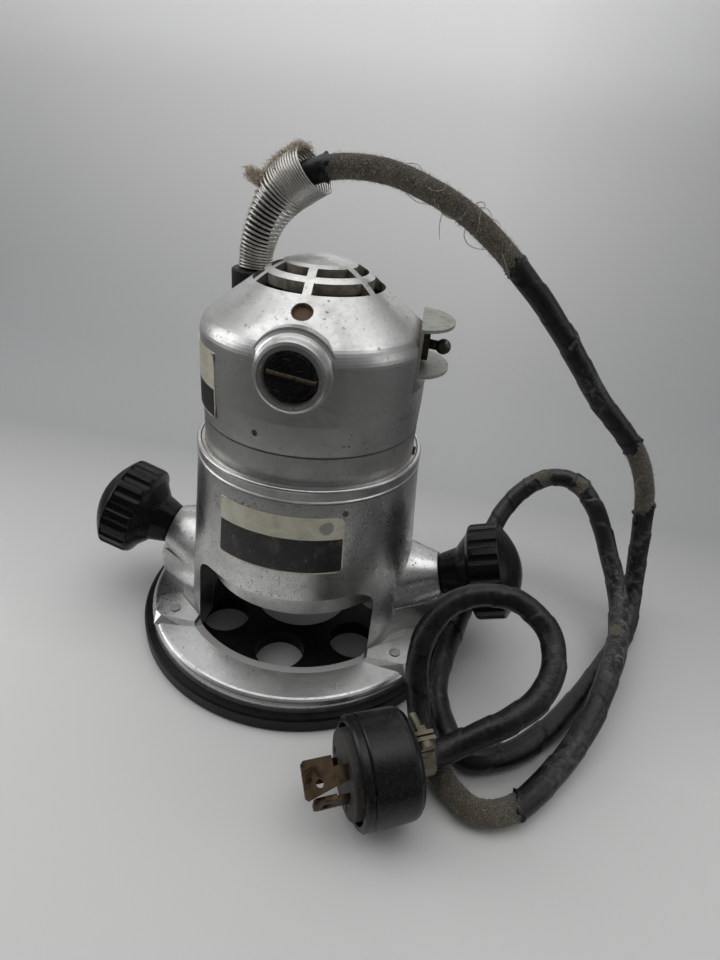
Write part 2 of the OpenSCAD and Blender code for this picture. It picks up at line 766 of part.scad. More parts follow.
brush_holder_r = 8;
brush_w = 8;
brush_h = 10;
holder_from = comm_r + 3;
// Floor of the well, where the brush cap seats on the cap and its holder
brush_well = 7.2;
brush_seat = brush_boss_face - brush_well;
holder_to = brush_seat - 0.4;
cap_stub_to = brush_seat - 3.5;
brush_outer = brush_seat - 14;

module at_brushes() {
    for (k = [0, 180]) aim(motor_turn + k, brush_z) children();
}

module brush_holders() {
    color([0.72, 0.6, 0.3]) at_brushes() difference() {
        bar(holder_from, holder_to, brush_holder_r);
        translate([holder_from - cut, -brush_w / 2 - fit_gap, -brush_h / 2 - fit_gap])
            cube([60, brush_w + 2 * fit_gap, brush_h + 2 * fit_gap]);
    }
}

module brushes() {
    color([0.15, 0.15, 0.16]) at_brushes() difference() {
        translate([comm_r, -brush_w / 2, -brush_h / 2])
            cube([brush_outer - comm_r, brush_w, brush_h]);
        aim(0, -brush_h) cylinder(r = comm_r + fit_gap, h = 2 * brush_h);
    }
}

module brush_caps() {
    face = brush_boss_face - 1.6;
    stub_r = 3.6;
    color([0.05, 0.05, 0.05]) at_brushes() difference() {
        turned([[cap_stub_to, 0], [cap_stub_to, stub_r], [brush_seat, stub_r], [brush_seat, brush_cap_d / 2],
            [face - 0.8, brush_cap_d / 2], [face, brush_cap_d / 2 - 0.8], [face, 0]]);
        rotate([-8, 0, 0]) translate([face - 1.4, -brush_cap_d, -brush_slot_w / 2])
            cube([5, 2 * brush_cap_d, brush_slot_w]);
    }
}

// Straight helical spring between a brush and its cap
function helix_path(from, to, r, turns) =
    [for (i = [0:8 * turns]) let (a = 45 * i) [from + (to - from) * i / (8 * turns), r * cos(a), r * sin(a)]];

module brush_springs() {
    wire = 0.7;
    coil = helix_path(brush_outer + wire / 2 + 0.02, cap_stub_to - wire / 2 - 0.02, 3, 6);
    color([0.7, 0.7, 0.7]) at_brushes() swept(coil, [for (p = coil) wire / 2], 6);
}

// Stator

module field_stator() {
    slot_x = 2 * (core_r - 3.3);
    slot_y = 13;
    slot_mid = core_r + air_gap + 4.5;
    color([0.45, 0.45, 0.46]) rotate([0, 0, motor_turn]) translate([0, 0, core_z])
        linear_extrude(height = core_h) difference() {
            circle(r = motor_bore_r - fit_gap);
            circle(r = core_r + air_gap);
            for (s = [-1, 1]) translate([0, s * slot_mid]) square([slot_x, slot_y], center = true);
        }
}

module field_coils() {
    in_y = core_r + 0.1;
    bar_x = core_r - 6.3;
    bar_y = 10;
    over = 5;
    color([0.6, 0.3, 0.14]) rotate([0, 0, motor_turn]) for (m = [0, 1]) mirror([m, 0, 0])
        translate([0, 0, core_z - over]) {
            for (s = [-1, 1]) translate([1.2, s * (in_y + bar_y / 2) - bar_y / 2, 0])
                cube([bar_x, bar_y, core_h + 2 * over]);
            for (z = [0, core_h + over + 0.1]) translate([0, 0, z]) intersection() {
                difference() {
                    cylinder(r = in_y + bar_y, h = over - 0.1);
                    translate([0, 0, -cut]) cylinder(r = in_y + 1, h = over + 2 * cut);
                }
                translate([1.2, -50, -cut]) cube([50, 100, over + 2 * cut]);
            }
        }
}

// Bearings

module bearing(z, h, out_r, in_r) {
    lip = (out_r - in_r) * 0.3;
    color([0.66, 0.67, 0.69]) rotate_extrude() polygon([
        [in_r, z], [in_r + lip, z], [in_r + lip, z + 0.8], [out_r - lip, z + 0.8], [out_r - lip, z],
        [out_r, z], [out_r, z + h], [out_r - lip, z + h], [out_r - lip, z + h - 0.8],
        [in_r + lip, z + h - 0.8], [in_r + lip, z + h], [in_r, z + h]]);
}

module lower_bearing() {
    bearing(low_brg_z, low_brg_h, low_brg_r, low_shaft_r);
}

module upper_bearing() {
    bearing(up_brg_z, up_brg_h, up_brg_r, up_shaft_r);
}

// Rotor

collet_wall = 1.7;
collet_len = 23;
collet_nut_z = collet_low_z + 3.4;
collet_nut_h = 16;
spindle_nose_r = 7;

module spindle() {
    top_z = up_brg_z + up_brg_h;
    color([0.6, 0.61, 0.63]) difference() {
        rotate_extrude() polygon([
            [0, collet_low_z + 5], [spindle_nose_r, collet_low_z + 5],
            [spindle_nose_r, collet_nut_z + collet_nut_h + 1], [low_shaft_r - fit_gap / 2, collet_nut_z + collet_nut_h + 1],
            [low_shaft_r - fit_gap / 2, fan_z], [shaft_r, fan_z], [shaft_r, comm_z + comm_h],
            [up_shaft_r - fit_gap / 2, comm_z + comm_h], [up_shaft_r - fit_gap / 2, top_z], [0, top_z]]);
        translate([0, 0, collet_low_z]) cylinder(r = collet_d / 2 + collet_wall + fit_gap, h = collet_len + 1);
    }
}

module armature_core() {
    slots = 12;
    color([0.42, 0.42, 0.43]) translate([0, 0, core_z]) linear_extrude(height = core_h) difference() {
        circle(r = core_r);
        circle(r = shaft_r);
        for (i = [0:slots - 1]) rotate(i * 360 / slots) translate([core_r - 4, 0]) square([10, 2.4], center = true);
    }
}

module armature_windings() {
    color([0.62, 0.3, 0.12]) for (z = [core_z - winding_h, core_z + core_h])
        translate([0, 0, z]) difference() {
            cylinder(r = core_r - 2, h = winding_h);
            translate([0, 0, -cut]) cylinder(r = shaft_r, h = winding_h + 2 * cut);
        }
}

module commutator() {
    bars = 24;
    color([0.7, 0.42, 0.2]) translate([0, 0, comm_z]) linear_extrude(height = comm_h) difference() {
        circle(r = comm_r - fit_gap);
        circle(r = shaft_r);
        for (i = [0:bars - 1]) rotate(i * 360 / bars) translate([comm_r, 0]) square([1.6, 0.5], center = true);
    }
}

module cooling_fan() {
    blades = 11;
    hub_r = 12;
    out_r = motor_bore_r - 3.4;
    color([0.2, 0.2, 0.22]) translate([0, 0, fan_z]) difference() {
        union() {
            cylinder(r = hub_r, h = fan_h);
            cylinder(r = out_r, h = 1.6);
            for (i = [0:blades - 1]) rotate([0, 0, i * 360 / blades])
                translate([hub_r - 1, -0.8, 0]) rotate([0, 0, 12]) cube([out_r - hub_r - 0.6, 1.6, fan_h]);
        }
        translate([0, 0, -cut]) cylinder(r = shaft_r, h = fan_h + 2 * cut);
    }
}

module collet() {
    slit = 0.6;
    color([0.55, 0.56, 0.58]) difference() {
        translate([0, 0, collet_low_z]) cylinder(r = collet_d / 2 + collet_wall, h = collet_len);
        translate([0, 0, collet_low_z - cut]) cylinder(d = collet_d, h = collet_len + 2 * cut);
        for (i = [0:2]) rotate([0, 0, i * 120])
            translate([0, -slit / 2, collet_low_z - cut]) cube([collet_d, slit, collet_len * 0.6]);
    }
}

module collet_nut() {
    color([0.5, 0.51, 0.53]) translate([0, 0, collet_nut_z]) difference() {
        intersection() {
            rotate([0, 0, 12]) cylinder(d = collet_nut_w / cos(30), h = collet_nut_h, $fn = 6);
            rotate_extrude() polygon([
                [0, 0], [collet_nut_w / 2 - 1.2, 0], [collet_nut_w / 2 + 1.2, 2.4],
                [collet_nut_w / 2 + 1.2, collet_nut_h - 1.2], [collet_nut_w / 2, collet_nut_h], [0, collet_nut_h]]);
        }
        translate([0, 0, -cut]) cylinder(r = spindle_nose_r, h = collet_nut_h + 2 * cut);
    }
}

// Switch

// Plate faces of the guard and the nut, from the motor's axis
guard_face = switch_flat + guard_t;
nut_face = guard_face + switch_nut_t;
ball_out = nut_face + lever_len;
lever_rest = -15;
lever_pivot = guard_face - 3;
lever_slot_h = 5;
lever_pin_r = 1.2;
lever_pin_half = 4;

module switch_body() {
    box_l = 14;
    box_w = 16;
    box_up = 5.6;
    box_down = 11;
    box_to = switch_flat - 7.6;
    color([0.1, 0.1, 0.1]) aim(toggle_az, switch_z) difference() {
        union() {
            translate([box_to - box_l, -box_w / 2, -box_down]) cube([box_l, box_w, box_up + box_down]);
            bar(box_to - 2, nut_face - 0.2, switch_bush_d / 2);
        }
        // slot that lets the lever swing level
        translate([0, 0, -lever_slot_h / 2]) linear_extrude(height = lever_slot_h) polygon([
            [lever_pivot - 4, -3.4], [nut_face + 2, -4.6], [nut_face + 2, 4.6], [lever_pivot - 4, 3.4]]);
        // bearings of the lever's pin
        translate([lever_pivot, 0, -lever_pin_half - fit_gap])
            cylinder(r = lever_pin_r + fit_gap / 2, h = 2 * (lever_pin_half + fit_gap));
    }
}

module switch_nut() {
    color([0.14, 0.13, 0.12]) aim(toggle_az, switch_z) difference() {
        bar(guard_face, nut_face, switch_nut_d / 2);
        bar(guard_face - cut, nut_face + cut, switch_bush_d / 2);
        // knurl
        for (i = [0:23]) rotate([i * 15, 0, 0])
            translate([guard_face - cut, -0.25, switch_nut_d / 2 - 0.35]) cube([switch_nut_t + 2 * cut, 0.5, 2]);
    }
}

// Half-oval ear that stands out level, above or below the lever
module guard_ear() {
    linear_extrude(height = guard_t) intersection() {
        translate([switch_flat, 0]) scale([guard_reach, guard_w / 2]) circle(r = 1, $fn = 72);
        translate([switch_flat, -guard_w]) square(2 * guard_w);
    }
}

module switch_guard() {
    color([0.56, 0.58, 0.52]) aim(toggle_az, switch_z) difference() {
        union() {
            translate([switch_flat, -guard_w / 2, -guard_h / 2]) cube([guard_t, guard_w, guard_h]);
            translate([0, 0, guard_h / 2 - guard_t]) guard_ear();
            translate([0, 0, -guard_h / 2]) guard_ear();
        }
        bar(switch_flat - cut, guard_face + 0.01, switch_bush_d / 2 + fit_gap / 2);
    }
}

module toggle_lever() {
    stem_r = 1.9;
    pivot_r = 2.3;
    neck_turn = asin(stem_r / pivot_r);
    ball_turn = asin(stem_r / (lever_ball_d / 2));
    color([0.12, 0.12, 0.11]) aim(toggle_az, switch_z)
        translate([lever_pivot, 0, 0]) rotate([0, 0, lever_rest]) {
            turned(concat(
                arc(0, 0, pivot_r, 180, neck_turn, 8),
                arc(ball_out - lever_pivot, 0, lever_ball_d / 2, 180 - ball_turn, 0, 10)));
            translate([0, 0, -lever_pin_half]) cylinder(r = lever_pin_r, h = 2 * lever_pin_half);
        }
}

// Gland, spring and cord

gland_shank_r = 7.2;
gland_head_h = 10;
gland_shank_h = 9;
gland_seat_z = gland_top_z - gland_head_h;
gland_low_z = gland_seat_z - gland_shank_h;
cord_start_z = gland_top_z - 6.8;

module cord_gland() {
    edge = 0.6;
    color([0.06, 0.06, 0.06]) translate([gland_x, gland_y, 0]) difference() {
        rotate_extrude() polygon([
            [0, gland_low_z], [gland_shank_r, gland_low_z], [gland_shank_r, gland_seat_z], [gland_d / 2, gland_seat_z],
            [gland_d / 2, gland_top_z - edge], [gland_d / 2 - edge, gland_top_z], [0, gland_top_z]]);
        translate([0, 0, cord_start_z]) cylinder(d = cord_d + 0.7, h = 20);
    }
}

// A point given from the middle of the gland's top
function from_gland(x, y, z) = [gland_x + x, gland_y + y, gland_top_z + z];

// Route of the cord: from the gland up through the spring, over and down to
// the floor, round the large loop and the small one, and into the plug
route = [
    [gland_x, gland_y, cord_start_z], from_gland(0, 0, spring_wire),
    from_gland(0.4, 0, 10.4), from_gland(3, 0, 19.3), from_gland(7.8, 0.6, 27.2),
    from_gland(14.4, 2, 33.8), from_gland(22.5, 3.8, 38.5), from_gland(35, 5.8, 41.2), from_gland(51, 7.8, 40.7),
    [34, 32, 195], [50, 33.5, 188], [66, 35, 177], [82, 36.5, 163], [97, 38, 148], [111, 39.5, 132],
    [124, 41, 117], [137, 43, 105], [150, 46.5, 91], [160, 50, 73], [166, 51, 52], [169, 46, 30],
    [169.5, 36, 13], [166.5, 23, 6], [159, 8, 5.3], [150, -7, 5.3], [140, -23, 5.3], [129, -39, 5.3],
    [117, -54, 5.3], [105, -65, 5.3], [94, -71.5, 5.3], [86, -72.6, 5.3], [80.5, -68, 5.3],
    [77, -60.5, 5.4], [74, -53, 5.8], [71.8, -45, 8], [72.6, -34, 12], [76, -18, 12.6], [80, -1, 13],
    [84, 17, 18], [89, 37, 28], [96, 55, 41], [107, 66, 53], [121, 71, 60], [134, 67, 59.5],
    [144, 57, 51], [152, 42, 36], [157.5, 27, 23], [156.5, 10, 18], [152, -8, 17], [144.5, -27, 16],
    [134.5, -49, 12], [122, -68, 7], [109.5, -83, 5.3], [103, -89, 5.3], [96, -92.5, 5.3],
    [88.5, -93, 5.3], [81.5, -88.5, 5.3], [76, -81.5, 5.3], [71, -74, 6.2], [67, -67, 10],
    [64, -60, 17], [61.5, -53, 27], [62, -46.5, 38], [67.5, -39.5, 47.5], [77, -34, 53],
    [90, -32, 55], [102, -34, 52.5], [110.5, -41, 47.5], [112, -53, 42], [107, -64, 36],
    [97, -72.5, 31], [87, -77, 25.5], [78.5, -80.3, 20.5], [71.5, -84, 19]];

function unit(v) = v / norm(v);

// Point on the smooth curve through the route, i + t points along it
function on_route(u) =
    let (
        n = len(route),
        i = min(max(floor(u), 0), n - 2),
        t = u - i,
        a = route[max(i - 1, 0)],
        b = route[i],
        c = route[i + 1],
        d = route[min(i + 2, n - 1)]
    ) 0.5 * (2 * b + (c - a) * t + (2 * a - 5 * b + 4 * c - d) * t * t + (3 * b - a - 3 * c + d) * t * t * t);

// A sideways direction for each point of a path, carried along without twist
function carried(path, i, prev) =
    let (t = tangent(path, i), v = prev - t * (prev * t)) unit(v);
function tangent(path, i) =
    unit(path[min(i + 1, len(path) - 1)] - path[max(i - 1, 0)]);
function frames(path, start) =
    [for (i = 0, v = carried(path, 0, start); i < len(path); i = i + 1, v = i < len(path) ? carried(path, i, v) : v) v];

// Tube with a radius at each point of a path, its faces all triangles
module swept(path, radii, sides, start = [0, 1, 0.13]) {
    n = len(path);
    side = frames(path, start);
    rings = [for (i = [0:n - 1]) let (t = tangent(path, i), u = side[i], w = cross(t, u))
        for (k = [0:sides - 1]) let (a = 360 * k / sides) path[i] + radii[i] * (u * cos(a) + w * sin(a))];
    skin = [for (i = [0:n - 2], k = [0:sides - 1])
        let (a = i * sides + k, b = i * sides + (k + 1) % sides)
            each [[a, b, a + sides], [b, b + sides, a + sides]]];
    near = [for (k = [1:sides - 2]) [0, k + 1, k]];
    far = [for (k = [1:sides - 2]) [(n - 1) * sides, (n - 1) * sides + k, (n - 1) * sides + k + 1]];
    polyhedron(points = rings, faces = [for (f = concat(skin, near, far)) [f[0], f[2], f[1]]], convexity = 10);
}

// Where the spring starts and ends, counted in route points
spring_from = 0.9;
spring_to = 6.3;
spring_steps = 8 * spring_turns;

// Centre line of the spring and the sideways directions along it
spring_axis = [for (i = [0:spring_steps]) on_route(spring_from + (spring_to - spring_from) * i / spring_steps)];
spring_side = frames(spring_axis, [1, 0, 0]);

// The coil's radius grows over the last third, to the open free end
function coil_r(f) = (spring_d + (spring_end_d - spring_d) * pow(max(f - 0.45, 0) / 0.55, 2) - spring_wire) / 2;

spring_path = concat(
    [[gland_x + coil_r(0), gland_y, gland_top_z], [gland_x + coil_r(0), gland_y, gland_top_z + spring_wire * 0.6],
    [gland_x + coil_r(0), gland_y, gland_top_z + spring_wire]],
    [for (i = [1:spring_steps]) let (t = tangent(spring_axis, i), u = spring_side[i], w = cross(t, u), a = 45 * i)
        spring_axis[i] + t * spring_wire * max(1.6 - i / 6, 0)
            + coil_r(i / spring_steps) * (u * cos(a) + w * sin(a))]);

// Least gap between one turn of the spring and the next
spring_gap = min([for (i = [8:spring_steps - 8], k = [6:10]) norm(spring_path[i] - spring_path[i + k])]) - spring_wire;
echo(spring_gap = spring_gap);

module strain_spring() {
    color([0.62, 0.63, 0.62]) swept(spring_path, [for (p = spring_path) spring_wire / 2], 6);
}

module cord() {
    path = concat(route, [plug_at(-plug_len, 0, 0)]);
    color([0.12, 0.12, 0.12]) swept(path, [for (p = path) cord_d / 2], 10);
}

// Plug

// The plug lies on the floor; its face looks along plug_turn
plug_turn = 207;
plug_x = 43.2;
plug_y = -98.4;
function plug_at(out, side, up) =
    [plug_x + out * cos(plug_turn) - side * sin(plug_turn), plug_y + out * sin(plug_turn) + side * cos(plug_turn),
    plug_d / 2 + up];

module on_plug() {
    translate(plug_at(0, 0, 0)) rotate([0, 0, plug_turn]) children();
}

plug_well = 3;
plug_face_d = plug_d - 2 * (plug_wall + plug_groove);

module plug_body() {
    r = plug_d / 2;
    wall = plug_wall;
    color([0.07, 0.07, 0.075]) on_plug() difference() {
        turned(concat(
            [[0, 0], [0, r - 0.8], [-0.8, r], [-3, r], [-3.6, r - 0.5], [-4.2, r]],
            arc(-plug_len + 4, r - 4, 4, 90, 180, 5), [[-plug_len, 0]]));
        turned([[cut, plug_face_d / 2], [cut, r - wall], [-plug_well, r - wall], [-plug_well, plug_face_d / 2]]);
        bar(-plug_well, cut, plug_face_d / 2 + cut);
        // screw sockets in the well's floor
        for (i = [0:3]) rotate([45 + 90 * i, 0, 0]) translate([0, 0, (plug_face_d / 2 + r - wall) / 2])
            bar(-plug_well - 2, 0, 0.7);
    }
}

module plug_face() {
    color([0.2, 0.19, 0.17]) on_plug() difference() {
        turned([[-plug_well, 0], [-plug_well, plug_face_d / 2], [plug_face_h - 0.5, plug_face_d / 2],
            [plug_face_h, plug_face_d / 2 - 0.5], [plug_face_h, 0]]);
        at_blades() translate([-plug_well - cut, -blade_root_w / 2, -blade_t / 2])
            cube([plug_well + plug_face_h + 2 * cut, blade_root_w, blade_t]);
        // terminal screw wells
        for (i = [0:2]) rotate([100 + 120 * i, 0, 0]) translate([plug_face_h - 1.5, 0, 11]) bar(0, 3, 1.4);
    }
}

blade_root_w = 5;
blade_out = 8;
blade_hole_d = 2.8;
earth_len = 15.4;

// Places a child at each blade, or at one: the flats are square to the radius
module at_blades(which = [0:2]) {
    turns = [-27, 123, 261];
    for (i = which) rotate([turns[i], 0, 0]) translate([0, 0, blade_out]) children();
}

// The earth blade is longer and spreads to both sides
module plug_blades() {
    color([0.42, 0.33, 0.22]) on_plug() {
        at_blades([0]) blade(earth_len, 3.6, 3.6);
        at_blades([1]) blade(blade_len, 2.4, 0);
        at_blades([2]) blade(blade_len, 1.8, 0);
    }
}

// One blade; hook is the step on one side, spread the slant of the other side
module blade(len, hook, spread) {
    w = blade_root_w / 2;
    tip = plug_face_h + len;
    shank = plug_face_h + 4.6;
    corner = 1;
    translate([0, 0, -blade_t / 2]) linear_extrude(height = blade_t) difference() {
        polygon([[-plug_well, -w], [-plug_well, w], [plug_face_h, w], [tip - corner, w + spread],
            [tip, w + spread - corner], [tip, corner - w - hook], [tip - corner, -w - hook],
            [shank, -w - hook], [shank, -w]]);
        translate([plug_face_h + len * 0.64, spread * 0.45]) circle(d = blade_hole_d);
    }
}

// Cord clamp: two straps either side of the cord, drawn together by screws
strap_from = -plug_len - 8;
strap_to = -plug_len - 0.6;
strap_half_h = 12.5;
clamp_screw_d = 3.2;
clamp_screw_up = 9.4;

module plug_clamp() {
    grip = cord_d / 2 + seat_gap;
    out = grip + strap_t;
    color([0.5, 0.46, 0.36]) on_plug() difference() {
        union() {
            bar(strap_from, strap_to, out);
            translate([strap_from, -strap_t - 0.4, -strap_half_h])
                cube([strap_to - strap_from, 2 * strap_t + 0.8, 2 * strap_half_h]);
            // foot that joins the clamp to the plug's back
            bar(strap_to - 0.5, -plug_len, out);
        }
        bar(strap_from - cut, -plug_len + 0.01, grip);
        translate([strap_from - cut, -0.4, -strap_half_h - cut])
            cube([strap_to - strap_from + cut, 0.8, 2 * strap_half_h + 2 * cut]);
        for (s = [-1, 1]) translate([(strap_from + strap_to) / 2, 0, s * clamp_screw_up]) rotate([90, 0, 0])
            cylinder(d = clamp_screw_d, h = 30, center = true);
    }
}

module plug_clamp_screws() {
    head_t = 2.4;
    face = strap_t + 0.4;
    tail = 11;
    color([0.56, 0.5, 0.36]) on_plug() for (s = [-1, 1])
        translate([(strap_from + strap_to) / 2, 0, s * clamp_screw_up]) {
            // the screw's head looks away from the router
            translate([0, face, 0]) rotate([-90, 0, 0]) difference() {
                cylinder(d = clamp_screw_d * 1.9, h = head_t);
                translate([-5, -0.4, head_t - 0.8]) cube([10, 0.8, 2]);
            }
            translate([0, face + 0.5, 0]) rotate([90, 0, 0])
                cylinder(d = clamp_screw_d - 2 * fit_gap, h = face + 0.5 + tail);
            translate([0, -face, 0]) rotate([90, 0, 0]) cylinder(d = clamp_screw_d * 1.9, h = 2.4, $fn = 6);
        }
}

base_casting();
sub_base();
sub_base_screws();
name_plate();
depth_ring();
clamp_screw();
clamp_wing_nut();
handle_studs();
left_knob();
right_knob();
motor_housing();
motor_cap();
cap_screws();
motor_name_plate();
brush_caps();
brush_holders();
brushes();
brush_springs();
field_stator();
field_coils();
lower_bearing();
upper_bearing();
switch_body();
switch_nut();
switch_guard();
cord_gland();
strain_spring();
spindle();
armature_core();
armature_windings();
commutator();
cooling_fan();
collet();
collet_nut();
toggle_lever();
plug_body();
plug_face();
plug_blades();
plug_clamp();
plug_clamp_screws();
cord();
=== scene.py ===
"""Looks of the electric router: camera, cord, materials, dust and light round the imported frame."""
import math

import bpy
import numpy as np
from mathutils import Matrix, Vector


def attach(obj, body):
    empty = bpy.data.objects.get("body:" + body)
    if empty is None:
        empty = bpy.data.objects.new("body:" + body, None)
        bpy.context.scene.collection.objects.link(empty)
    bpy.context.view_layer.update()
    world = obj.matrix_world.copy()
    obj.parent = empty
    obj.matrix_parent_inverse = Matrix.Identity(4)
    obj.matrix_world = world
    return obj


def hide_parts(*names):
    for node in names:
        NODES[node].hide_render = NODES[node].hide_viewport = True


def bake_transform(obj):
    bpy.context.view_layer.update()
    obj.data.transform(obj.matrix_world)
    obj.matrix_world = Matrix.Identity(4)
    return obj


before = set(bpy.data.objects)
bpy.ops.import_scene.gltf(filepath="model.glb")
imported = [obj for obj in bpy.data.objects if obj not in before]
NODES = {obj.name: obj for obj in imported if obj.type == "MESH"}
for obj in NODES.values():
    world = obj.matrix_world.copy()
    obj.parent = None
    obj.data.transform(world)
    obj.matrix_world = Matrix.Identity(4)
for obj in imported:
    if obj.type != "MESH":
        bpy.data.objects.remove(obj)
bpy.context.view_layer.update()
rng = np.random.default_rng(7)


def new_object(name, data):
    made = bpy.data.objects.new(name, data)
    bpy.context.scene.collection.objects.link(made)
    return made


# camera, fitted to the photograph's round edges

SENSOR_WIDTH, LENS = 36.0, 21.75
CAMERA_RIGHT = (0.97985, 0.1769, 0.09272)
CAMERA_UP = (-0.16839, 0.48213, 0.85976)
CAMERA_BACK = (0.10739, -0.85805, 0.50221)
CAMERA_PLACE = (0.05112, -0.22208, 0.20874)


def make_camera():
    data = bpy.data.cameras.new("camera")
    data.sensor_width = SENSOR_WIDTH
    data.lens = LENS
    data.clip_start, data.clip_end = 0.01, 20.0
    camera = new_object("camera", data)
    camera.matrix_world = Matrix((*zip(CAMERA_RIGHT, CAMERA_UP, CAMERA_BACK, CAMERA_PLACE), (0, 0, 0, 1)))
    bpy.context.scene.camera = camera


make_camera()


# shader graphs

class Graph:
    """A node tree built by short calls."""

    def __init__(self, tree):
        self.tree = tree
        tree.nodes.clear()
        coord = self.new("TexCoord")
        self.obj, self.uv, self.around = (coord.outputs[k] for k in ("Object", "UV", "Generated"))

    def put(self, socket, value):
        """Link a socket into this one, or set its number, vector or colour."""
        if isinstance(value, bpy.types.NodeSocket):
            self.tree.links.new(value, socket)
        elif isinstance(value, tuple) and len(value) < len(socket.default_value):
            socket.default_value = (*value, 1.0)
        else:
            socket.default_value = value

    def new(self, kind, **inputs):
        """A shader node with its inputs set; _ stands for a space in an input's name."""
        node = self.tree.nodes.new("ShaderNode" + kind)
        for name, value in inputs.items():
            self.put(node.inputs[name.replace("_", " ")], value)
        return node

    def scaled(self, scale, base=None, rotation=(0, 0, 0)):
        """Coordinates of the surface, stretched and turned."""
        return self.new("Mapping", Vector=base or self.obj, Scale=scale, Rotation=rotation).outputs[0]

    def noise(self, scale, detail, rough, vector=None, distortion=0.0):
        """Soft noise from 0 to 1 whose size shrinks as scale grows."""
        return self.new("TexNoise", Vector=vector or self.obj, Scale=scale, Detail=detail, Roughness=rough,
                        Distortion=distortion).outputs["Fac"]

    def cells(self, scale):
        """Distance to the nearest of many scattered points."""
        return self.new("TexVoronoi", Vector=self.obj, Scale=scale).outputs["Distance"]

    def wave(self, vector, direction, distortion):
        """Bands across one direction."""
        node = self.new("TexWave", Vector=vector, Scale=1.0, Distortion=distortion, Detail=2.0)
        node.bands_direction = direction
        return node.outputs["Fac"]

    def span(self, value, low, high, to_low=0.0, to_high=1.0, curve="LINEAR"):
        """Map low..high to to_low..to_high, held at both ends."""
        node = self.new("MapRange", Value=value)
        node.interpolation_type = curve
        for place, number in enumerate((low, high, to_low, to_high), 1):
            node.inputs[place].default_value = number
        return node.outputs[0]

    def math(self, operation, *terms):
        node = self.new("Math")
        node.operation = operation
        for place, term in enumerate(terms):
            self.put(node.inputs[place], term)
        return node.outputs[0]

    def fold(self, operation, first, *rest):
        """One operation over any number of terms, from the left."""
        for term in rest:
            first = self.math(operation, first, term)
        return first

    def times(self, *terms):
        return self.fold("MULTIPLY", *terms)

    def plus(self, *terms):
        return self.fold("ADD", *terms)

    def minus(self, a, b):
        return self.math("SUBTRACT", a, b)

    def most(self, *terms):
        return self.fold("MAXIMUM", *terms)

    def less(self, a, b):
        return self.math("LESS_THAN", a, b)

    def more(self, a, b):
        return self.math("GREATER_THAN", a, b)

    def within(self, value, low, high):
        """1 where value is between low and high."""
        return self.times(self.more(value, low), self.less(value, high))

    def apart(self, a, b):
        return self.math("ABSOLUTE", self.minus(a, b))

    def hypot(self, a, b):
        return self.math("SQRT", self.plus(self.times(a, a), self.times(b, b)))

    def distance(self, place):
        """Distance of the surface from a place."""
        node = self.new("VectorMath")
        node.operation = "DISTANCE"
        self.put(node.inputs[0], self.obj)
        self.put(node.inputs[1], place)
        return node.outputs["Value"]

    def mix(self, amount, a, b):
        """Colour a where amount is 0, and colour b where it is 1."""
        node = self.new("Mix")
        node.data_type = "RGBA"
        for place, value in ((0, amount), (6, a), (7, b)):
            self.put(node.inputs[place], value)
        return node.outputs[2]

    def axis(self, name, base=None):
        """One coordinate of the surface or of another vector."""
        return self.new("SeparateXYZ", Vector=base or self.obj).outputs[name]

    def crevice(self, reach):
        """1 in the open, less where other surfaces are within reach."""
        node = self.new("AmbientOcclusion", Distance=reach)
        node.samples = 6
        return node.outputs["AO"]

    def up_facing(self):
        return self.axis("Z", self.new("NewGeometry").outputs["Normal"])

    def bump(self, height, strength, distance):
        return self.new("Bump", Height=height, Strength=strength, Distance=distance).outputs[0]


class Mat(Graph):
    """A surface material."""

    def __init__(self, name):
        self.mat = bpy.data.materials.new(name)
        self.mat.use_nodes = True
        super().__init__(self.mat.node_tree)

    def hairlines(self, first, second):
        """Two fields of fine scratches, each stretched by (scale) and turned by (rotation)."""
        return [self.noise(1.0, 1, 0.5, self.scaled(scale, rotation=turn)) for scale, turn in (first, second)]

    def finish(self, colour, rough, metallic, normal, **others):
        """Join colour, roughness and relief to the surface shader."""
        shader = self.new("BsdfPrincipled", Base_Color=colour, Roughness=rough, Metallic=metallic,
                          Normal=normal, **others)
        self.new("OutputMaterial", Surface=shader.outputs[0])
        return self.mat


# places and sizes that the materials need, in metres

CAP_WALL = 0.0435
SEAM = min(v.co.z for v in NODES["motor_cap"].data.vertices if math.hypot(v.co.x, v.co.y) > CAP_WALL)
SEAM_WIDTH = 0.0009
VENTS_BOTTOM, VENTS_RADIUS = 0.155, 0.0278
PLATE_TOP, SLEEVE_FOOT = 0.015, 0.024
LAND_RADII = (0.0531, 0.0579)
LAND_HEIGHTS = (0.0125, 0.0143)
GRAIN_HEIGHTS = (0.018, 0.034)
BRUSH_AXIS = (0.0523, -0.9986)
BRUSH_SLOT_FLOOR = 0.0448
MARK_EDGE = 0.0004

# floors of the shallow holes above the brushes, as (place, radius, colour)
HOLE_FLOORS = [((0.0015 * side, -0.0299 * side, 0.1564), 0.0041, (0.16, 0.085, 0.03)) for side in (1, -1)]
# chips in the base's finish, in the same form
CHIPS = [((0.0247, -0.0418, 0.0872), 0.0016, (0.035, 0.022, 0.012)),
         ((0.0240, -0.0421, 0.0848), 0.0011, (0.05, 0.03, 0.018)),
         ((-0.0080, -0.0486, 0.0868), 0.0006, (0.06, 0.05, 0.04))]
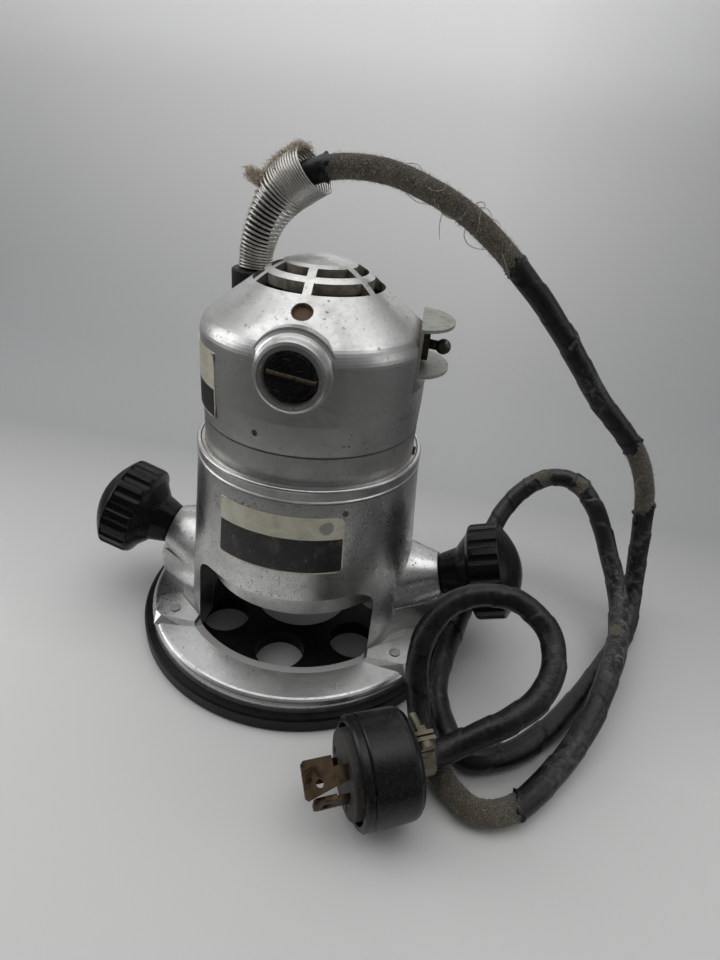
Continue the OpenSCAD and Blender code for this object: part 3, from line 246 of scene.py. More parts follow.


# colours of age: oxide, pits, dirt, dust and wear, and the painted shade in the motor's seam

OXIDE = (0.45, 0.45, 0.43)
PIT_BLACK, PIT_BROWN = (0.08, 0.065, 0.045), (0.27, 0.21, 0.13)
CAST_GRAIN = (0.16, 0.15, 0.13)
BROWN_FILM = (0.36, 0.29, 0.20)
CORNER_DIRT = (0.17, 0.135, 0.09)
# the dark line of painted shade along the motor's seam
PAINTED_SEAM_SHADE = (0.035, 0.028, 0.02)
VENT_DUST, VENT_DIRT = (0.27, 0.235, 0.17), (0.075, 0.055, 0.034)
DARKER_PLATE, BARE_LAND = (0.42, 0.43, 0.44), (0.62, 0.61, 0.59)
SCUFF = (0.16, 0.155, 0.15)
LINT = (0.23, 0.215, 0.19)
SLOT_DUST = (0.33, 0.27, 0.18)


class Aluminium(Mat):
    """Old aluminium in layers, which change its colour, its roughness and how much metal is covered."""

    def __init__(self, name, pale, grey, rough):
        super().__init__(name)
        self.x, self.y, self.z = (self.axis(k) for k in "XYZ")
        self.radius = self.hypot(self.x, self.y)
        cloud = self.noise(46, 4, 0.6, distortion=0.4)
        fine = self.noise(420, 5, 0.7)
        self.colour = self.mix(self.span(cloud, 0.38, 0.68), pale, grey)
        self.colour = self.mix(self.times(self.span(fine, 0.5, 0.75), 0.35), self.colour, OXIDE)
        self.rough = self.plus(self.span(cloud, 0.35, 0.7, *rough),
                               self.times(self.span(fine, 0.45, 0.75), 0.12))
        self.covered = 0.0
        self.relief = self.times(fine, 0.35)

    def lay(self, mask, colour, amount, duller, cover):
        """Lay a layer over the metal where mask is 1; the layers are dirt, wear and the painted shade in the
        seam.
        """
        self.colour = self.mix(self.times(mask, amount), self.colour, colour)
        self.rough = self.plus(self.rough, self.times(mask, duller))
        self.covered = self.most(self.covered, self.times(mask, cover))

    def pits(self, amount):
        """Dark pits, grouped where a slow noise is high."""
        group = self.span(self.noise(70, 2, 0.5), 0.36, 0.54)
        pit = self.less(self.cells(330), self.times(self.noise(160, 1, 0.5), 0.36))
        pit = self.times(pit, group, 0.75 * amount, self.span(self.noise(900, 1, 0.5), 0.45, 0.6))
        shade = self.mix(self.span(self.noise(130, 2, 0.5), 0.48, 0.56), PIT_BLACK, PIT_BROWN)
        self.lay(pit, shade, 1.0, 0.0, 0.6)
        self.relief = self.plus(self.relief, self.times(pit, -1.6))

    def grain(self, amount):
        """The fine dark grain of old castings, thinner on the plate than on the sleeve."""
        size = self.times(self.span(self.noise(210, 3, 0.6), 0.3, 0.7), 0.42)
        dots = self.times(self.less(self.cells(1150), size), self.span(self.z, *GRAIN_HEIGHTS, 0.35, 1.0))
        self.colour = self.mix(self.times(dots, amount), self.colour, CAST_GRAIN)

    def dirt(self, amount):
        """Brown film in clouds, and darker dirt in the corners."""
        film = self.span(self.noise(28, 5, 0.65, distortion=0.8), 0.55, 0.80)
        self.lay(self.times(film, 0.35 * amount), BROWN_FILM, 1.0, 0.35, 0.5)
        corner = self.span(self.crevice(0.004), 0.35, 0.85, 1.0, 0.0)
        corner = self.times(corner, self.span(self.noise(240, 4, 0.6), 0.25, 0.6, 0.5, 1.0))
        self.lay(corner, CORNER_DIRT, amount, 0.35, 0.9 * amount)

    def mark(self, place, radius, colour):
        """A dull spot with an uneven edge."""
        away = self.plus(self.distance(place), self.times(self.noise(900, 2, 0.5), 0.0006))
        self.lay(self.span(away, radius, radius + MARK_EDGE, 1.0, 0.0), colour, 0.92, 0.5, 1.0)

    def seam(self):
        """Painted shade: a dark line along the seam between the motor's two shells."""
        line = self.less(self.apart(self.z, SEAM), self.times(self.noise(60, 3, 0.6), SEAM_WIDTH))
        self.lay(line, PAINTED_SEAM_SHADE, 0.85, 0.4, 1.0)

    def vents(self):
        """Pale dust and brown dirt on the steep sides of the vent slots."""
        wall = self.times(self.less(self.up_facing(), 0.35), self.less(self.radius, VENTS_RADIUS),
                          self.more(self.z, VENTS_BOTTOM))
        dusty = self.mix(self.span(self.noise(350, 4, 0.7), 0.35, 0.65), VENT_DUST, VENT_DIRT)
        self.lay(wall, dusty, 0.9, 0.4, 1.0)

    def land(self):
        """The plate is darker than the sleeve, and the land round its opening is bare and worn."""
        self.colour = self.mix(self.span(self.z, PLATE_TOP, SLEEVE_FOOT, 0.35, 0.0), self.colour, DARKER_PLATE)
        near = self.times(self.within(self.radius, *LAND_RADII), self.within(self.z, *LAND_HEIGHTS))
        self.lay(near, BARE_LAND, 1.0, 0.12, 0.75)

    def scratches(self):
        """Hairlines in two directions."""
        a, b = self.hairlines(((90, 2600, 900), (0.3, 0.2, 0.5)), ((2400, 120, 1400), (0.1, 0.7, -0.4)))
        lines = self.plus(self.span(a, 0.66, 0.72), self.span(b, 0.68, 0.73))
        self.relief = self.plus(self.relief, self.times(lines, -0.25))

    def turning(self, depth):
        """Fine rings left by the lathe."""
        rings = self.noise(1.0, 2, 0.5, self.scaled((25, 25, 5200)))
        self.relief = self.plus(self.relief, self.times(rings, depth))
        self.rough = self.plus(self.rough, self.times(self.span(rings, 0.45, 0.65), 0.05))

    def cast(self, lumps):
        """Close the material, with the soft unevenness of a casting under its fine relief."""
        normal = self.bump(self.relief, 0.22, 0.00012)
        if lumps:
            normal = self.new("Bump", Height=self.noise(75, 2, 0.5), Strength=lumps, Distance=0.0016,
                              Normal=normal).outputs[0]
        return self.finish(self.colour, self.rough, self.minus(1.0, self.covered), normal)


def aluminium(name, pale, grey, rough, rings=0.0, specks=1.0, grain=0.15, dirt=0.8, lumps=0.0, marks=(),
              layers=()):
    """Old aluminium. Rings, specks, grain, dirt and lumps are amounts, marks are (place, radius, colour),
    and layers are those that belong to one spot of the router."""
    m = Aluminium(name, pale, grey, rough)
    m.pits(specks)
    m.grain(grain)
    m.dirt(dirt)
    for mark in marks:
        m.mark(*mark)
    for layer in layers:
        layer(m)
    m.scratches()
    if rings:
        m.turning(rings)
    return m.cast(lumps)


def steel(name, pale, dark, rough, tarnish, amount, metallic=1.0, scale=1.0):
    """Small plated or bare hardware: pale and dark clouds, with tarnish there and in the corners."""
    m = Mat(name)
    cloud = m.noise(190 * scale, 4, 0.65, distortion=0.5)
    fine = m.noise(1400 * scale, 4, 0.7)
    corner = m.span(m.crevice(0.0025), 0.4, 0.9, 1.0, 0.0)
    stain = m.most(m.times(m.span(cloud, 0.52, 0.68), amount), m.times(corner, 0.9 * amount + 0.1))
    colour = m.mix(stain, m.mix(m.span(cloud, 0.35, 0.7), pale, dark), tarnish)
    dull = m.plus(m.span(fine, 0.35, 0.7, *rough), m.times(stain, 0.25))
    relief = m.plus(m.times(fine, 0.6), m.times(cloud, 0.6))
    return m.finish(colour, dull, metallic, m.bump(relief, 0.3, 0.00012))


def moulded(name, colour, worn, rough, dust, grain, gloss=0.5, scuffs=0.12, slot=False):
    """Old moulded plastic or rubber: worn sheen, scuffs, grey dust on top and in corners."""
    m = Mat(name)
    cloud = m.noise(60, 4, 0.6)
    fine = m.noise(900, 5, 0.75)
    a, b = m.hairlines(((160, 3000, 1500), (0.4, 0.1, 0.8)), ((2600, 200, 900), (0.2, 0.9, 0.1)))
    lines = m.most(m.span(a, 0.66, 0.70), m.span(b, 0.67, 0.71))
    colour = m.mix(m.times(m.span(cloud, 0.45, 0.75), 0.5), colour, worn)
    colour = m.mix(m.times(lines, scuffs), colour, SCUFF)
    top = m.span(m.up_facing(), -0.1, 0.9)
    corner = m.span(m.crevice(0.003), 0.45, 0.9, 1.0, 0.15)
    patch = m.span(m.noise(130, 5, 0.7, distortion=0.6), 0.42, 0.72)
    lint = m.times(m.plus(m.times(top, 0.5), corner), patch, dust)
    colour = m.mix(m.math("MINIMUM", lint, 0.8), colour, LINT)
    dull = m.plus(m.span(cloud, 0.3, 0.75, *rough), m.times(lint, 0.9), m.times(lines, 0.12))
    if slot:
        # pale dust in the screwdriver slots, which lie square to the brushes' axis
        along_axis = m.plus(m.times(m.axis("X"), BRUSH_AXIS[0]), m.times(m.axis("Y"), BRUSH_AXIS[1]))
        in_slot = m.less(m.math("ABSOLUTE", along_axis), BRUSH_SLOT_FLOOR)
        dusty = m.times(in_slot, m.span(m.noise(500, 4, 0.7), 0.35, 0.55, 0.35, 1.0))
        colour = m.mix(dusty, colour, SLOT_DUST)
        dull = m.most(dull, m.times(dusty, 0.9))
    relief = m.plus(m.times(fine, grain), m.times(lines, -0.3))
    return m.finish(colour, dull, 0.0, m.bump(relief, 0.22, 0.00015), Specular_IOR_Level=gloss)


# bare two-tone enamel plates

ENAMEL_PALE, ENAMEL_STAIN = (0.66, 0.635, 0.515), (0.47, 0.42, 0.30)
ENAMEL_DARK, ENAMEL_FADED = (0.022, 0.022, 0.022), (0.09, 0.08, 0.065)
ENAMEL_RUBBED, PLATE_METAL = (0.27, 0.265, 0.25), (0.66, 0.66, 0.65)
PLATE_CORNER = 0.0032
RUBBED_RADIUS, RUBBED_EDGE = 0.0036, 0.0006


def plate_outline(node, facing):
    """Half angle, radius, middle height and half height of a plate bent round the router's axis."""
    points = np.array([v.co[:] for v in NODES[node].data.vertices])
    ahead = points[:, 0] * facing[0] + points[:, 1] * facing[1]
    aside = points[:, 1] * facing[0] - points[:, 0] * facing[1]
    low, high = points[:, 2].min(), points[:, 2].max()
    half_angle = np.abs(np.arctan2(aside, ahead)).max()
    return float(half_angle), float(ahead.max()), float(low + high) / 2, float(high - low) / 2


def name_plate(name, node, facing, split, field_foot, field_angle, rubbed=None):
    """Pale enamel above the height split, and below it a dark field in a pale border, down to field_foot
    and field_angle to each side. Bare metal shows past the rounded corners."""
    m = Mat(name)
    x, y, z = (m.axis(k) for k in "XYZ")
    ahead = m.plus(m.times(x, facing[0]), m.times(y, facing[1]))
    aside = m.minus(m.times(y, facing[0]), m.times(x, facing[1]))
    turn = m.math("ABSOLUTE", m.math("ARCTAN2", aside, ahead))
    below = m.less(m.plus(z, m.times(m.noise(300, 2, 0.5), 0.0002)), split)
    field = m.times(below, m.more(z, field_foot), m.less(turn, field_angle))
    stains = m.noise(130, 5, 0.7, distortion=0.7)
    pale = m.mix(m.span(stains, 0.4, 0.75), ENAMEL_PALE, ENAMEL_STAIN)
    dark = m.mix(m.span(stains, 0.5, 0.75), ENAMEL_DARK, ENAMEL_FADED)
    worn = m.times(m.span(m.noise(420, 5, 0.8), 0.60, 0.68), 0.5)
    if rubbed:
        away = m.plus(m.distance(rubbed), m.times(m.noise(400, 3, 0.6), 0.0022))
        patch = m.span(away, RUBBED_RADIUS, RUBBED_RADIUS + RUBBED_EDGE, 1.0, 0.0)
        worn = m.most(worn, m.times(patch, 0.85))
    colour = m.mix(worn, m.mix(field, pale, dark), ENAMEL_RUBBED)
    dull = m.plus(m.span(stains, 0.3, 0.8, 0.28, 0.5), m.times(worn, 0.15))
    half_angle, radius, middle, half_height = plate_outline(node, facing)
    over = m.most(m.times(m.minus(turn, half_angle - PLATE_CORNER / radius), radius), 0.0)
    above = m.most(m.minus(m.apart(z, middle), half_height - PLATE_CORNER), 0.0)
    metal = m.more(m.hypot(over, above), PLATE_CORNER)
    normal = m.bump(m.noise(700, 4, 0.6), 0.12, 0.0001)
    return m.finish(m.mix(metal, colour, PLATE_METAL), dull, metal, normal, Specular_IOR_Level=0.5)


# the carried-over nodes and their materials

def dress(material, *names):
    """Give one material to nodes of the frame."""
    for name in names:
        NODES[name].data.materials.clear()
        NODES[name].data.materials.append(material)
    return material


dress(aluminium("cap_aluminium", (0.80, 0.80, 0.785), (0.60, 0.60, 0.585), (0.25, 0.38), rings=0.12,
                lumps=0.05, marks=HOLE_FLOORS, layers=(Aluminium.seam, Aluminium.vents)),
      "motor_cap")
dress(aluminium("housing_aluminium", (0.72, 0.72, 0.70), (0.56, 0.56, 0.54), (0.26, 0.40), rings=0.5,
                specks=0.6, grain=0.3, layers=(Aluminium.seam,)),
      "motor_housing")
dress(aluminium("base_aluminium", (0.76, 0.76, 0.75), (0.63, 0.63, 0.61), (0.24, 0.34), grain=0.6, dirt=0.6,
                lumps=0.05, marks=CHIPS, layers=(Aluminium.land,)),
      "base_casting")
dress(aluminium("ring_aluminium", (0.76, 0.76, 0.75), (0.5, 0.5, 0.48), (0.22, 0.34), rings=0.3, specks=0.6),
      "depth_ring")
dress(moulded("sub_base_phenolic", (0.003, 0.003, 0.0034), (0.008, 0.008, 0.0085), (0.34, 0.50), dust=0.05,
              grain=0.5, gloss=0.24, scuffs=0.06),
      "sub_base")
dress(moulded("knob_bakelite", (0.0025, 0.0025, 0.0029), (0.006, 0.0058, 0.0056), (0.18, 0.34), dust=0.03,
              grain=0.3, gloss=0.24, scuffs=0.06),
      "left_knob", "right_knob", "switch_body")
dress(moulded("brush_cap_bakelite", (0.003, 0.003, 0.0034), (0.007, 0.007, 0.007), (0.14, 0.26), dust=0.15,
              grain=0.2, slot=True),
      "brush_caps")
dress(moulded("plug_rubber", (0.003, 0.003, 0.0034), (0.008, 0.008, 0.0085), (0.20, 0.36), dust=0.07,
              grain=0.5, gloss=0.42, scuffs=0.16),
      "plug_body")
dress(moulded("plug_face_fibre", (0.035, 0.033, 0.029), (0.08, 0.075, 0.062), (0.5, 0.75), dust=0.5,
              grain=0.9),
      "plug_face")
dress(moulded("gland_rubber", (0.006, 0.006, 0.007), (0.018, 0.018, 0.018), (0.42, 0.62), dust=0.12,
              grain=0.5, gloss=0.3),
      "cord_gland")
dress(moulded("brush_carbon", (0.03, 0.03, 0.032), (0.07, 0.07, 0.07), (0.5, 0.7), dust=0.1, grain=0.6),
      "brushes")
dress(moulded("fan_plastic", (0.05, 0.05, 0.055), (0.1, 0.1, 0.1), (0.4, 0.6), dust=0.5, grain=0.4),
      "cooling_fan")
dress(steel("zinc_steel", (0.46, 0.45, 0.41), (0.30, 0.29, 0.26), (0.32, 0.5), (0.2, 0.15, 0.08), 0.5),
      "sub_base_screws", "clamp_screw", "clamp_wing_nut", "handle_studs")
dress(steel("tarnished_brass", (0.44, 0.37, 0.24), (0.26, 0.21, 0.13), (0.34, 0.55), (0.13, 0.095, 0.05),
            0.7),
      "cap_screws", "brush_holders")
dress(steel("blade_brass", (0.11, 0.077, 0.048), (0.05, 0.034, 0.022), (0.34, 0.52), (0.028, 0.018, 0.012),
            0.9, scale=1.1),
      "plug_blades")
dress(steel("clamp_zinc", (0.25, 0.23, 0.16), (0.15, 0.135, 0.095), (0.34, 0.52), (0.08, 0.065, 0.04), 0.8,
            metallic=0.6, scale=0.8),
      "plug_clamp", "plug_clamp_screws")
dress(steel("blackened_brass", (0.17, 0.155, 0.13), (0.085, 0.076, 0.062), (0.26, 0.42), (0.11, 0.075, 0.05),
            0.6),
      "switch_nut", "toggle_lever")
dress(steel("guard_steel", (0.44, 0.45, 0.40), (0.32, 0.33, 0.29), (0.40, 0.58), (0.22, 0.21, 0.17), 0.45,
            metallic=0.5),
      "switch_guard")
spring_steel = dress(
    steel("spring_steel", (0.74, 0.725, 0.68), (0.56, 0.545, 0.50), (0.24, 0.40), (0.24, 0.195, 0.14), 0.5,
          metallic=0.85, scale=0.6),
    "brush_springs", "strain_spring")
dress(steel("ground_steel", (0.58, 0.59, 0.60), (0.42, 0.42, 0.43), (0.18, 0.32), (0.2, 0.17, 0.12), 0.3),
      "lower_bearing", "upper_bearing", "spindle", "collet", "collet_nut")
dress(steel("laminated_steel", (0.36, 0.36, 0.37), (0.22, 0.21, 0.2), (0.4, 0.6), (0.14, 0.1, 0.07), 0.5),
      "field_stator", "armature_core")
dress(steel("wound_copper", (0.48, 0.22, 0.10), (0.28, 0.12, 0.05), (0.3, 0.5), (0.1, 0.05, 0.03), 0.5),
      "field_coils", "armature_windings", "commutator")
dress(name_plate("name_plate_enamel", "name_plate", facing=(0.0, -1.0), split=0.0766, field_foot=0.0616,
                 field_angle=0.5219, rubbed=(0.0185, -0.0455, 0.0815)),
      "name_plate")
dress(name_plate("motor_plate_enamel", "motor_name_plate", facing=(-0.9304, -0.3665), split=0.1262,
                 field_foot=0.1153, field_angle=0.4957),
      "motor_name_plate")


# mesh helpers

def mesh_object(name, verts, faces, materials, index=None, uvs=None):
    """A smooth-shaded object; index gives each face's material."""
    mesh = bpy.data.meshes.new(name)
    mesh.from_pydata([tuple(v) for v in verts], [], faces)
    for material in materials:
        mesh.materials.append(material)
    if index is not None:
        mesh.polygons.foreach_set("material_index", np.asarray(index, np.int32))
    if uvs is not None:
        layer = mesh.uv_layers.new(name="UVMap")
        layer.data.foreach_set("uv", np.asarray(uvs, np.float32).ravel())
    mesh.polygons.foreach_set("use_smooth", np.full(len(mesh.polygons), True))
    mesh.update()
    return new_object(name, mesh)


def unit(vector):
    return vector / np.linalg.norm(vector)


def lengths_along(path):
    """Distance from the path's start to each of its points."""
    return np.r_[0, np.cumsum(np.linalg.norm(np.diff(path, axis=0), axis=1))]


def carried_frames(path, start):
    """Along, side and up directions at each point, carried on from start without a twist."""
    ahead = np.gradient(path, axis=0)
    ahead /= np.linalg.norm(ahead, axis=1)[:, None]
    side = np.zeros_like(path)
    last = np.array(start, float)
    for i in range(len(path)):
        last = unit(last - ahead[i] * (last @ ahead[i]))
        side[i] = last
    return ahead, side, np.cross(ahead, side)


def tube_mesh(path, radius, sides, start):
    """Closed tube round a path; radius is an array of rings by sides."""
    ahead, side, up = carried_frames(path, start)
    angles = np.linspace(0, 2 * math.pi, sides, endpoint=False)
    ring = side[:, None, :] * np.cos(angles)[None, :, None] + up[:, None, :] * np.sin(angles)[None, :, None]
    verts = (path[:, None, :] + ring * radius[:, :, None]).reshape(-1, 3)
    last = (len(path) - 1) * sides
    faces = []
    for low in range(0, last, sides):
        for k in range(sides):
            near = (k + 1) % sides
            faces.append((low + k, low + near, low + sides + near, low + sides + k))
    faces.append(tuple(range(sides - 1, -1, -1)))
    faces.append(tuple(range(last, last + sides)))
    return verts, faces


def smooth_curve(points, spacing, soften):
    """Catmull-Rom through the points, evened out to one spacing and softened."""
    steps = 12
    points = np.array(points, float)
    last = len(points) - 1
    rough = []
    for i in range(last):
        a, b, c, d = points[max(i - 1, 0)], points[i], points[i + 1], points[min(i + 2, last)]
        for s in np.arange(steps) / steps:
            rough.append(0.5 * (2 * b + (c - a) * s + (2 * a - 5 * b + 4 * c - d) * s * s
                                + (3 * b - a - 3 * c + d) * s ** 3))
    rough = np.array([*rough, points[-1]])
    length = lengths_along(rough)
    places = np.linspace(0, length[-1], int(length[-1] / spacing) + 1)
    even = np.stack([np.interp(places, length, rough[:, k]) for k in range(3)], 1)
    for _ in range(soften):
        even[1:-1] = 0.25 * even[:-2] + 0.5 * even[1:-1] + 0.25 * even[2:]
    return even


# cord: its route repeats the frame's, in metres

GLAND = (-0.032996, 0.022256)
ROUTE = [(GLAND[0], GLAND[1], 0.152), (GLAND[0], GLAND[1], 0.1599),
    (-0.0326, 0.0222, 0.1692), (-0.030, 0.0222, 0.1781), (-0.0252, 0.0228, 0.186), (-0.0186, 0.0242, 0.1926),
    (-0.0105, 0.026, 0.1973), (0.002, 0.028, 0.200), (0.018, 0.030, 0.1995), (0.034, 0.032, 0.195),
    (0.050, 0.0335, 0.188), (0.066, 0.035, 0.177), (0.082, 0.0365, 0.163), (0.097, 0.038, 0.148),
    (0.111, 0.0395, 0.132), (0.124, 0.041, 0.117), (0.137, 0.043, 0.105), (0.150, 0.0465, 0.091),
    (0.160, 0.050, 0.073), (0.166, 0.051, 0.052), (0.169, 0.046, 0.030), (0.1695, 0.036, 0.013),
    (0.1665, 0.023, 0.006), (0.159, 0.008, 0.0053), (0.150, -0.007, 0.0053), (0.140, -0.023, 0.0053),
    (0.129, -0.039, 0.0053), (0.117, -0.054, 0.0053), (0.105, -0.065, 0.0053), (0.094, -0.0715, 0.0053),
    (0.086, -0.0726, 0.0053), (0.0805, -0.068, 0.0053), (0.077, -0.0605, 0.0054), (0.074, -0.053, 0.0058),
    (0.0718, -0.045, 0.008), (0.0726, -0.034, 0.012), (0.076, -0.018, 0.0126), (0.080, -0.001, 0.013),
    (0.084, 0.017, 0.018), (0.089, 0.037, 0.028), (0.096, 0.055, 0.041), (0.107, 0.066, 0.053),
    (0.121, 0.071, 0.060), (0.134, 0.067, 0.0595), (0.144, 0.057, 0.051), (0.152, 0.042, 0.036),
    (0.1575, 0.027, 0.023), (0.1565, 0.010, 0.018), (0.152, -0.008, 0.017), (0.1445, -0.027, 0.016),
    (0.1345, -0.049, 0.012), (0.122, -0.068, 0.007), (0.1095, -0.083, 0.0053), (0.103, -0.089, 0.0053),
    (0.096, -0.0925, 0.0053), (0.0885, -0.093, 0.0053), (0.0815, -0.0885, 0.0053), (0.076, -0.0815, 0.0053),
    (0.071, -0.074, 0.0062), (0.067, -0.067, 0.010), (0.064, -0.060, 0.017), (0.0615, -0.053, 0.027),
    (0.062, -0.0465, 0.038), (0.0675, -0.0395, 0.0475), (0.077, -0.034, 0.053), (0.090, -0.032, 0.055),
    (0.102, -0.034, 0.0525), (0.1105, -0.041, 0.0475), (0.112, -0.053, 0.042), (0.107, -0.064, 0.036),
    (0.097, -0.0725, 0.031), (0.087, -0.077, 0.0255), (0.0785, -0.0803, 0.0205), (0.0715, -0.084, 0.019),
    (0.0628, -0.08841, 0.019)]

# where bare cloth shows: (from, to, unevenness of the tape's edge at from, and at to), in millimetres
CLOTH = [(60, 146, 0.5, 1.4), (252, 292, 1.4, 1.4), (874, 915, 1.4, 1.4)]
# small places where the cloth shows between turns of tape: (along, half length, facing, half width)
BARE = [(188, 0.8, (0.75, -0.6, 0.3), 5.0), (662, 3.2, (-0.3, -0.75, 0.6), 5.0),
        (683, 3.0, (0.35, -0.8, 0.45), 4.5), (770, 4.0, (-0.5, -0.6, 0.6), 2.6)]
# where the tape is scuffed pale, in metres along the cord: all of the first, less of the others
SCUFFED = (0.722, 0.802)
HALF_SCUFFED = ((0.300, 0.345), (0.655, 0.668), (0.683, 0.693), (0.205, 0.222), (0.836, 0.858))

# the cord's build, with lengths in millimetres
CORD_SIDES = 30
CORD_SPACING = 0.6
TAPE_RADIUS, TAPE_STEP = 4.62, 0.52
TAPE_PITCH = 17.5
CLOTH_RADIUS = 4.55
MEAN_RADIUS = 4.8
TORN_EDGE = 1.7
FLOOR_GAP = 0.2
STEP_SHARPNESS = 36
LIFTED_CORNERS, LIFTED_FROM, LIFTED_TO = 60, 150, 1090
# slow and quick unevenness, as (waves per millimetre, most turns round, seed)
WINDING = ((0.03, 2, 3), (0.12, 4, 33))
SLACK = (0.013, 1, 31)
TAPE_LUMPS = ((0.05, 2, 5), (0.25, 4, 8))
CLOTH_LUMPS = ((0.05, 2, 11), (0.35, 5, 12))
TAPE_EDGE = ((0.001, 3, 21), (0.002, 5, 22))
TORN_LUMPS = (0.02, 4, 41)
# the direction from which the cord's turns are counted
CORD_START = (0, 1, 0.13)

TAPE_BLACK, TAPE_WORN = (0.0032, 0.0032, 0.0038), (0.011, 0.011, 0.0125)
TAPE_SCUFF, TAPE_DUST = (0.27, 0.265, 0.25), (0.24, 0.23, 0.21)
CLOTH_PALE, CLOTH_GREY = (0.235, 0.205, 0.155), (0.10, 0.092, 0.077)
CLOTH_BROWN, CLOTH_FUZZ, CLOTH_GAPS = (0.21, 0.15, 0.08), (0.36, 0.32, 0.245), (0.045, 0.04, 0.033)
CREASE_SCALE = (230, 5, 0)
WEAVE_ALONG, WEAVE_ACROSS = (1500, 0, 0), (0, 34, 0)
STRANDS_ALONG, STRANDS_ACROSS = 560.0, 17.0


def along(m, low, high, soft=0.006):
    """1 where the cord's length coordinate is between low and high metres."""
    u = m.axis("X", m.uv)
    return m.times(m.span(u, low - soft, low + soft), m.span(u, high - soft, high + soft, 1.0, 0.0))


def tape_material():
    """Black fabric tape with scuffs, a little dust and creases that run round at a slant."""
    m = Mat("cord_tape")
    cloud = m.noise(95, 4, 0.65)
    fine = m.noise(1500, 4, 0.7)
    colour = m.mix(m.span(cloud, 0.4, 0.72), TAPE_BLACK, TAPE_WORN)
    worn = m.most(along(m, *SCUFFED), *(m.times(along(m, *ends), 0.75) for ends in HALF_SCUFFED))
    grit = m.span(m.noise(260, 6, 0.75, distortion=0.8), 0.46, 0.66)
    scuff = m.times(grit, m.plus(m.times(worn, 0.6), 0.05))
    top = m.span(m.up_facing(), 0.0, 0.95)
    dust = m.times(top, m.span(m.noise(330, 4, 0.7), 0.4, 0.7), 0.03)
    colour = m.mix(dust, m.mix(scuff, colour, TAPE_SCUFF), TAPE_DUST)
    dull = m.plus(m.span(cloud, 0.3, 0.75, 0.24, 0.38), m.times(m.plus(scuff, dust), 0.6))
    weave = m.plus(m.wave(m.scaled(WEAVE_ALONG, m.uv), "X", 0.5),
                   m.wave(m.scaled(WEAVE_ACROSS, m.uv), "Y", 0.5))
    crease = m.noise(1.0, 4, 0.6, m.scaled(CREASE_SCALE, m.uv, rotation=(0, 0, 0.02)), distortion=0.7)
    crease = m.span(m.apart(crease, 0.5), 0.0, 0.05)
    relief = m.plus(m.times(fine, 0.4), m.times(weave, 0.10), m.times(crease, 1.1))
    return m.finish(colour, dull, 0.0, m.bump(relief, 0.3, 0.00022))


def cloth_material():
    """Old cotton braid: strands that cross both ways round the cord, under a fuzz."""
    m = Mat("cord_cloth")
    u = m.times(m.axis("X", m.uv), STRANDS_ALONG)
    v = m.times(m.axis("Y", m.uv), STRANDS_ACROSS)
    shift = m.times(m.noise(420, 4, 0.75), 2.2)
    both_ways = (m.plus(u, v), m.minus(u, v))
    cross = m.most(*(m.math("SINE", m.times(m.plus(way, shift), 2 * math.pi)) for way in both_ways))
    fuzz = m.noise(1900, 5, 0.85)
    colour = m.mix(m.span(m.noise(170, 5, 0.7, distortion=0.5), 0.36, 0.66), CLOTH_PALE, CLOTH_GREY)
    colour = m.mix(m.times(m.span(m.noise(70, 3, 0.6), 0.5, 0.66), 0.55), colour, CLOTH_BROWN)
    colour = m.mix(m.times(m.span(fuzz, 0.5, 0.7), 0.5), colour, CLOTH_FUZZ)
    colour = m.mix(m.span(cross, -0.3, 0.9, 0.42, 0.0), colour, CLOTH_GAPS)
    relief = m.plus(m.times(cross, 0.45), m.times(fuzz, 1.5))
    return m.finish(colour, 0.95, 0.0, m.bump(relief, 0.9, 0.0006), Sheen_Weight=0.2)


def wobble(way, angle, per_mm, turns, seed):
    """Smooth waves in three octaves over the cord's surface, way millimetres along it and angle round it."""
    draws = np.random.default_rng(seed)
    total = np.zeros_like(way)
    for octave in range(3):
        often = per_mm * 2 ** octave
        most = turns * (octave + 1)
        for _ in range(3):
            k = draws.integers(-most, most + 1)
            total += np.sin(2 * math.pi * way * often * draws.uniform(0.7, 1.3) + k * angle
                            + draws.uniform(0, 6.28)) / 2 ** octave
    return total / 4


def uneven(way, angle, waves, slow, quick):
    """Slow and quick waves together, each at its own height."""
    return slow * wobble(way, angle, *waves[0]) + quick * wobble(way, angle, *waves[1])


def turned(angle, turn):
    """Angle from turn, between half a turn back and half a turn on."""
    return (angle - turn + math.pi) % (2 * math.pi) - math.pi


def tape_surface(way, angle):
    """Radius of tape wound in a spiral whose pitch drifts, each turn lying on the last."""
    s = way[:, 0]
    pitch = TAPE_PITCH + 4.5 * np.sin(s / 61.0) + 3.0 * np.sin(s / 23.0 + 1)
    phase = np.cumsum(1.0 / pitch * np.gradient(s))[:, None] + angle / (2 * math.pi)
    phase = phase + uneven(way, angle, WINDING, 0.05, 0.025)
    turn = phase % 1.0
    slack = np.clip(0.75 + 0.6 * wobble(way, angle, *SLACK), 0.15, 1.3)
    radius = TAPE_RADIUS + TAPE_STEP * slack * (1 - turn) ** 1.2 * np.clip(turn * STEP_SHARPNESS, 0, 1)
    radius += uneven(way, angle, TAPE_LUMPS, 0.03, 0.02)
    # lifted corners just behind the free edge of the tape
    draws = np.random.default_rng(17)
    behind = np.exp(-turn * 12)
    for _ in range(LIFTED_CORNERS):
        place, facing = draws.uniform(LIFTED_FROM, LIFTED_TO), draws.uniform(0, 2 * math.pi)
        height, length, width = draws.uniform(0.3, 1.1), draws.uniform(2.5, 5), draws.uniform(1.2, 3.0)
        aside = np.abs(turned(angle, facing)) * MEAN_RADIUS
        radius += height * behind * np.exp(-((way - place) / length) ** 2 - (aside / width) ** 2)
    return radius


